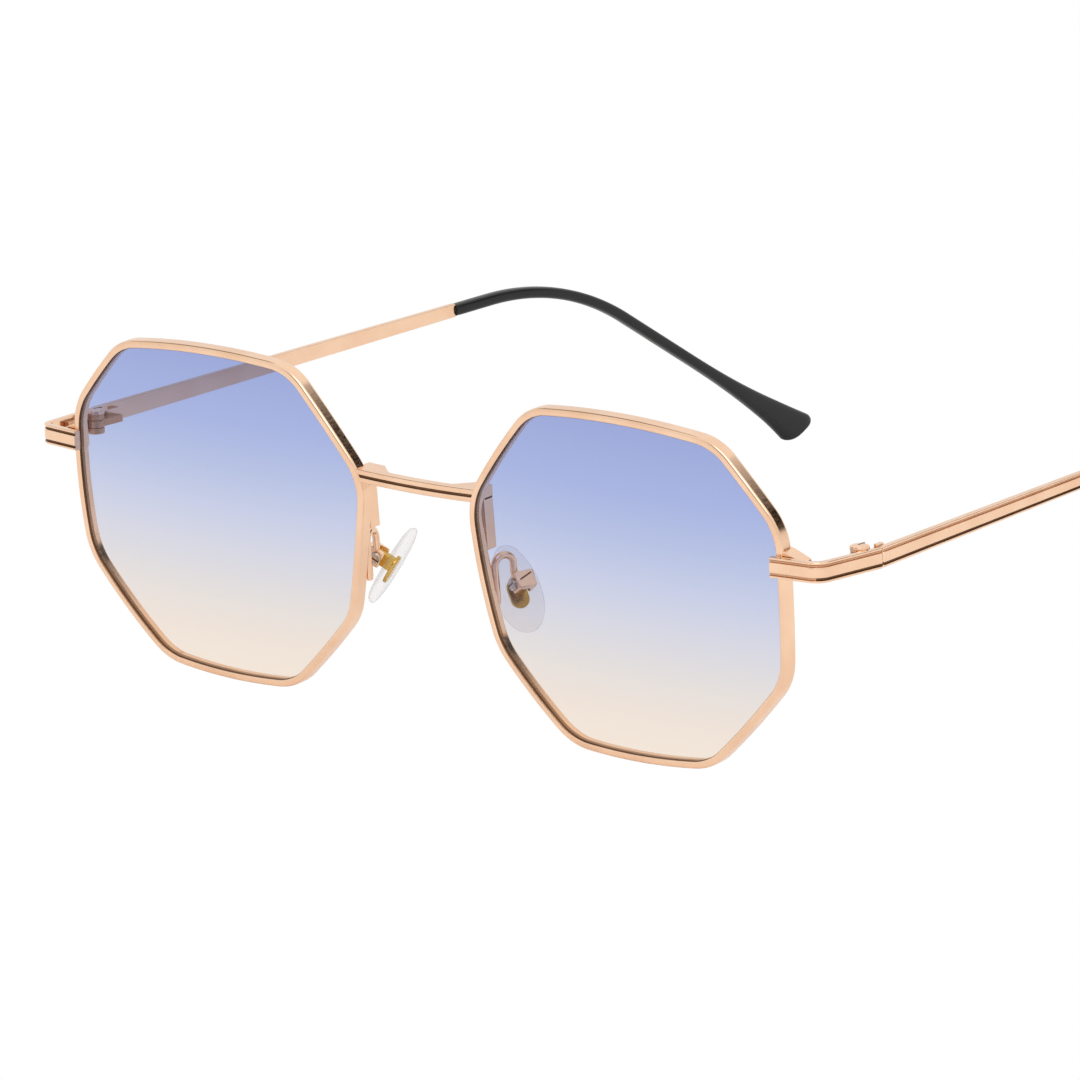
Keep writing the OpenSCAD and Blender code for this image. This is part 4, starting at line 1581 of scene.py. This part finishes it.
@dataclass(frozen=True)
class NosePads:
    """The nose pads with their arms, boxes, screws and cores.

    Attributes:
        x: Distance of the pad's screw from the middle.
        y: Its depth.
        z: How far it lies below the lens centres.
        lean: How far the pad leans, in degrees.
        turn: How far it turns to the front, in degrees.
        length: Length of the pad.
        width: Its width.
        thick: Its thickness.
        wire: Thickness of the arm's wire.
        bend_z: How far the arm's bend starts below the lens centres.
        foot_l: Length of the arm's foot on the rim.
        box: Size of the pad box.
        open_x: Where the box's open side lies.
        cheek: Thickness of its walls.
        back_x: Where the pad's back lies.
        seat_x: Where the arm meets the box.
        lug_r: Radius of the core's lug.
        plate_r: Radius of the round ends of the plate in the pad.
        plate_t: Its thickness.
        plate_z: Height of the centres of its ends.
    """

    x: float = 12.8
    y: float = 7.7
    z: float = 3.7
    lean: float = 34.0
    turn: float = 24.0
    length: float = 12.4
    width: float = 6.6
    thick: float = 1.8
    wire: float = 1.0
    bend_z: float = 0.9
    foot_l: float = 5.0
    box: tuple[float, float, float] = (2.6, 2.6, 2.4)
    open_x: float = -0.9
    cheek: float = 0.65
    back_x: float = -1.5
    seat_x: float = 0.5
    lug_r: float = 0.9
    plate_r: float = 1.3
    plate_t: float = 0.5
    plate_z: Point = (0.2, -1.4)

    def place(self) -> Matrix:
        """Gives the pad's frame: +X away from the nose, +Z up the pad, origin on the screw.

        Returns:
            The frame.
        """
        turn = Matrix.Rotation(-math.radians(self.turn), 4, "Z")
        lean = Matrix.Rotation(-math.radians(self.lean), 4, "Y")
        return FRONT.plane() @ Matrix.Translation((self.x, self.y, -self.z)) @ turn @ lean

    def cross(self) -> Matrix:
        """Gives the frame of the screw and the lug, +Z along the screw."""
        return self.place() @ Matrix.Rotation(math.radians(90), 4, "X")

    def arm(self, side: Side) -> bpy.types.Object:
        """Makes one pad arm, a foot on the rim, a bend upwards and a drop to the box.

        Args:
            side: The side it sits on.

        Returns:
            The arm.
        """
        r = self.wire / 2
        foot = Vector((FRONT.lens_x - 24.7, FRONT.sag(25.4) + FRONT.wire_d + r + GAP))
        turn, lean = math.radians(self.turn), math.radians(self.lean)
        away = self.seat_x * math.cos(lean) - self.box[2] / 2 * math.sin(lean)
        forward = (self.box[1] - self.cheek) / 2
        end = Vector((self.x, self.y)) + away * Vector((math.cos(turn), -math.sin(turn)))
        end -= forward * Vector((math.sin(turn), math.cos(turn)))
        span, course = (end - foot).length, (end - foot).normalized()
        sideways = Vector((-course.y, course.x))
        drop = self.z - self.bend_z - self.seat_x * math.sin(lean) - self.box[2] / 2 * math.cos(lean) + 0.2
        path = [Vector((0, self.foot_l * (s / 8 - 1))) for s in range(8)]
        for s in range(21):
            a = math.pi * s / 20
            path.append(Vector((1 - math.cos(a), math.sin(a))) * span / 2)
        path += [Vector((span, -drop * s / 4)) for s in range(1, 5)]
        last = len(path) - 1
        rings = []
        for i, here in enumerate(path):
            ahead = (path[min(i + 1, last)] - path[max(i - 1, 0)]).normalized()
            radius = r * (0.8 if i in (0, last) else 1.0)
            ring = []
            for c, d in circle(20):
                along, up = here + Vector((-ahead.y, ahead.x)) * d * radius
                x, y = foot + course * along + sideways * c * radius
                ring.append(FRONT.plane() @ Vector((x, y, up - self.bend_z)))
            rings.append(ring)
        skin = Skin()
        skin.loft(rings)
        return skin.finish(f"pad_arm_{side.word}", "wire", side, [Finish.GOLD])

    def channel(self, side: Side) -> bpy.types.Object:
        """Makes one pad box, a channel with a dark slot line across its back, a thin dark block painted as
        the slot's shade.

        Args:
            side: The side it sits on.

        Returns:
            The box.
        """
        by, bz = self.box[1] / 2, self.box[2] / 2
        front, back = self.open_x, self.open_x + self.box[0]
        wall, floor = by - self.cheek, back - self.cheek
        outline = [(front, -by), (back, -by), (back, by), (front, by)]
        outline += [(front, wall), (floor, wall), (floor, -wall), (front, -wall)]
        skin = Skin()
        skin.prism(outline, -bz, bz, self.place(), 0.24)
        slot = self.place() @ Matrix.Translation((0, 0, 0.35)) @ Matrix.Rotation(math.radians(22), 4, "X")
        # The slot line is a thin dark block standing just proud of the back: painted shade.
        skin.block((back - 0.2, -0.95, -0.11), (back + 0.015, 0.95, 0.11), slot, tone=1)
        return skin.finish(f"pad_box_{side.word}", "channel", side, [Finish.GOLD, Finish.GROOVE])

    def screw(self, side: Side) -> bpy.types.Object:
        """Makes one pad screw with its slotted head, the slot a dark block painted as its shade.

        Args:
            side: The side it sits on.

        Returns:
            The screw.
        """
        by = self.box[1] / 2
        profile = [(0.4, -by), (0.5, 0.1 - by), (0.5, by + GAP), (0.85, by + GAP), (0.85, by + 0.3)]
        skin = Skin()
        skin.turn(profile + [(0.7, by + 0.47), (0.3, by + 0.48)], self.cross(), 32)
        # The slot is a dark block laid into the head: painted shade.
        skin.block((-0.7, -0.12, by + 0.4), (0.7, 0.12, by + 0.49), self.cross(), tone=1)
        return skin.finish(f"pad_screw_{side.word}", "turned", side, [Finish.STEEL, Finish.GROOVE])

    def core(self, side: Side) -> bpy.types.Object:
        """Makes one pad core: the lug on the screw, its neck and the plate inside the pad.

        Args:
            side: The side it sits on.

        Returns:
            The core.
        """
        lug, r, soft = self.box[1] / 2 - self.cheek - STRIP.run, self.lug_r, 0.08
        half = [(r, lug - soft), (r - soft, lug), (0.5, lug)]
        profile = [(radius, -up) for radius, up in reversed(half)] + half
        skin = Skin()
        skin.turn(profile, self.cross(), 32)
        skin.block((self.back_x - r, -lug, -r), (0.0, lug, r), self.place(), soft)
        high, low = self.plate_z
        plate = [(self.plate_r * c, self.plate_r * d + (high if d > 0 else low)) for c, d in circle(28)]
        upright = Matrix(((0, 0, 1, 0), (1, 0, 0, 0), (0, 1, 0, 0), (0, 0, 0, 1)))
        lay = self.place() @ Matrix.Translation((self.back_x - 1.3, 0, 0)) @ upright
        skin.prism(plate, 0.0, self.plate_t, lay, 0.1)
        return skin.finish(f"pad_insert_{side.word}", "core", side, [Finish.CORE], f"pad_{side.word}")

    def cushion(self, side: Side) -> bpy.types.Object:
        """Makes one clear pad, an egg-shaped outline that swells from its back and closes to its face.

        Args:
            side: The side it sits on.

        Returns:
            The pad.
        """
        levels = [(0.03, 0.45), (0.02, 0.62), (0.1, 0.76), (0.24, 0.87), (0.45, 0.94), (0.75, 0.98)]
        levels += [(1.1, 0.995), (1.35, 0.98), (1.55, 0.93), (1.72, 0.84), (1.85, 0.7), (1.93, 0.52)]
        levels += [(1.97, 0.3), (1.98, 0.1)]
        rings = []
        for depth, share in levels:
            ring, x = [], self.back_x - depth * self.thick / 2
            for c, d in circle(56):
                across = share * (1 - 0.1 * c) * self.width / 2 * d
                ring.append(self.place() @ Vector((x, across, share * self.length / 2 * c)))
            rings.append(ring)
        skin = Skin()
        skin.loft(rings)
        return skin.finish(f"nose_pad_{side.word}", "cushion", side, [Finish.PAD], f"pad_{side.word}", 60)

    def build(self, side: Side) -> list[bpy.types.Object]:
        """Makes one pad with all that holds it."""
        return [self.arm(side), self.channel(side), self.screw(side), self.core(side), self.cushion(side)]


# Studio.


@dataclass(frozen=True)
class Studio:
    """Camera, floor and light.

    Attributes:
        eye: Place of the camera, in millimetres.
        gaze: Direction of view.
        roll: Turn of the camera about its gaze, in degrees.
        lens: Focal length for the sensor.
        sensor: Width of the sensor, in millimetres.
        key: Place of the key light, in metres.
        gaps: Dark gaps of the light tent: direction, the cosines where each starts and is full, light left.
    """

    eye: tuple[float, float, float] = (691.76, -827.52, 273.70)
    gaze: tuple[float, float, float] = (-0.64771, 0.72385, -0.23774)
    roll: float = -1.6094
    lens: float = 267.47
    sensor: float = 36.0
    key: tuple[float, float, float] = (0.35, -0.5, 0.75)
    gaps: tuple[tuple[tuple[float, float, float], float, float, float], ...] = (
        ((0.462, 0.672, 0.579), 0.966, 0.994, 0.0),
        ((0.56, 0.70, 0.44), 0.968, 0.988, 0.03),
        ((0.0, -0.9, 0.42), 0.93, 0.99, 0.4),
        ((-0.65, -0.22, 0.70), 0.92, 0.985, 0.3),
    )

    def camera(self) -> None:
        """Makes the camera that takes the photograph's view."""
        data = bpy.data.cameras.new("photo_camera")
        data.sensor_width = data.sensor_height = self.sensor
        data.sensor_fit = "AUTO"
        data.lens = self.lens
        data.clip_start, data.clip_end = 0.01, 20.0
        camera = bpy.data.objects.new("photo_camera", data)
        bpy.context.scene.collection.objects.link(camera)
        ahead = Vector(self.gaze).normalized()
        right = ahead.cross(Vector((0, 0, 1))).normalized()
        up = right.cross(ahead)
        c, s = math.cos(math.radians(self.roll)), math.sin(math.radians(self.roll))
        basis = Matrix((right * c + up * s, up * c - right * s, -ahead)).transposed().to_4x4()
        camera.matrix_world = Matrix.Translation(Vector(self.eye) * MM) @ basis
        bpy.context.scene.camera = camera

    def floor(self) -> None:
        """Makes the pale floor, which the camera sees as plain white."""
        bm = bmesh.new()
        bmesh.ops.create_grid(bm, x_segments=1, y_segments=1, size=3.0)
        mesh = bpy.data.meshes.new("floor")
        bm.to_mesh(mesh)
        bm.free()
        floor = bpy.data.objects.new("floor", mesh)
        floor.location = (0, 0, -0.5 * MM)
        bpy.context.scene.collection.objects.link(floor)
        material = bpy.data.materials.new("floor_white")
        fill_tree(material, self.paper)
        mesh.materials.append(material)

    @staticmethod
    def paper(tree: Tree) -> bpy.types.Node:
        """Adds the nodes of matt white paper, which the camera sees without shadows.

        Args:
            tree: The node tree that receives them.

        Returns:
            The last node.
        """
        seen = add_node(tree, "LightPath").outputs["Is Camera Ray"]
        pale = add_node(tree, "BsdfDiffuse", {"Color": linear("#FDFCFB")})
        white = add_node(tree, "Emission", {"Color": linear("#FFFFFF"), "Strength": 1.0})
        return add_node(tree, "MixShader", {0: seen, 1: pale, 2: white})

    def tent(self, tree: Tree) -> bpy.types.Node:
        """Adds the nodes of the surroundings: white for the camera, a light tent with dark gaps for the rest.

        Args:
            tree: The world's node tree.

        Returns:
            The last node.
        """
        place = add_node(tree, "TexCoord").outputs["Generated"]
        way = add_node(tree, "VectorMath", {0: place}, operation="NORMALIZE")
        height = add_node(tree, "SeparateXYZ", {"Vector": way}).outputs["Z"]
        lift = add_node(tree, "MapRange", {"Value": height, "From Min": -1.0, "From Max": 1.0})
        cloth = [(0.0, "#F0EEEA"), (0.45, "#FFFFFF"), (0.62, "#F2F0EE"), (0.8, "#FFFFFF"), (1.0, "#FFFFFF")]
        light = add_node(tree, "ValToRGB", {0: lift}, cloth)
        left = 1.0
        for aim, start, end, dim in self.gaps:
            aimed = {0: way, 1: Vector(aim).normalized()}
            near = add_node(tree, "VectorMath", aimed, operation="DOT_PRODUCT").outputs["Value"]
            spread = {"Value": near, "From Min": start, "From Max": end, "To Min": 1.0, "To Max": dim}
            shade = add_node(tree, "MapRange", spread, interpolation_type="SMOOTHSTEP")
            left = add_node(tree, "Math", {0: left, 1: shade}, operation="MULTIPLY")
        shaded = {0: left, 6: linear("#1A120C"), 7: light}
        tent = add_node(tree, "Mix", shaded, data_type="RGBA").outputs[2]
        felt = add_node(tree, "Background", {"Color": tent, "Strength": 1.0})
        white = add_node(tree, "Background", {"Color": linear("#FFFFFF"), "Strength": 1.0})
        seen = add_node(tree, "LightPath").outputs["Is Camera Ray"]
        return add_node(tree, "MixShader", {0: seen, 1: felt, 2: white})

    def light(self) -> None:
        """Makes the soft key light."""
        data = bpy.data.lights.new("key_light", "AREA")
        data.shape, data.size, data.energy = "DISK", 0.6, 1.6
        data.color = (1.0, 0.985, 0.96)
        key = bpy.data.objects.new("key_light", data)
        key.location = self.key
        key.rotation_mode = "QUATERNION"
        key.rotation_quaternion = (-key.location).to_track_quat("-Z", "Y")
        bpy.context.scene.collection.objects.link(key)

    def build(self) -> None:
        """Sets up the camera, the floor, the surroundings and the light."""
        self.camera()
        self.floor()
        world = bpy.data.worlds.new("light_tent")
        bpy.context.scene.world = world
        fill_tree(world, self.tent, "OutputWorld")
        self.light()
        bpy.context.scene.view_settings.view_transform = "Standard"


def main() -> None:
    """Builds the glasses and the studio, and reports each piece."""
    pieces = Bridge().build()
    for side in Side:
        for part in (Rims(), Lenses(), EndPieces(), ClosingBlocks(), Hinges(), Temples(), NosePads()):
            pieces += part.build(side)
    for piece in pieces:
        LOG.info("%s: %d faces", piece.name, len(piece.data.polygons))
    Studio().build()


if __name__ == "__main__":
    main()
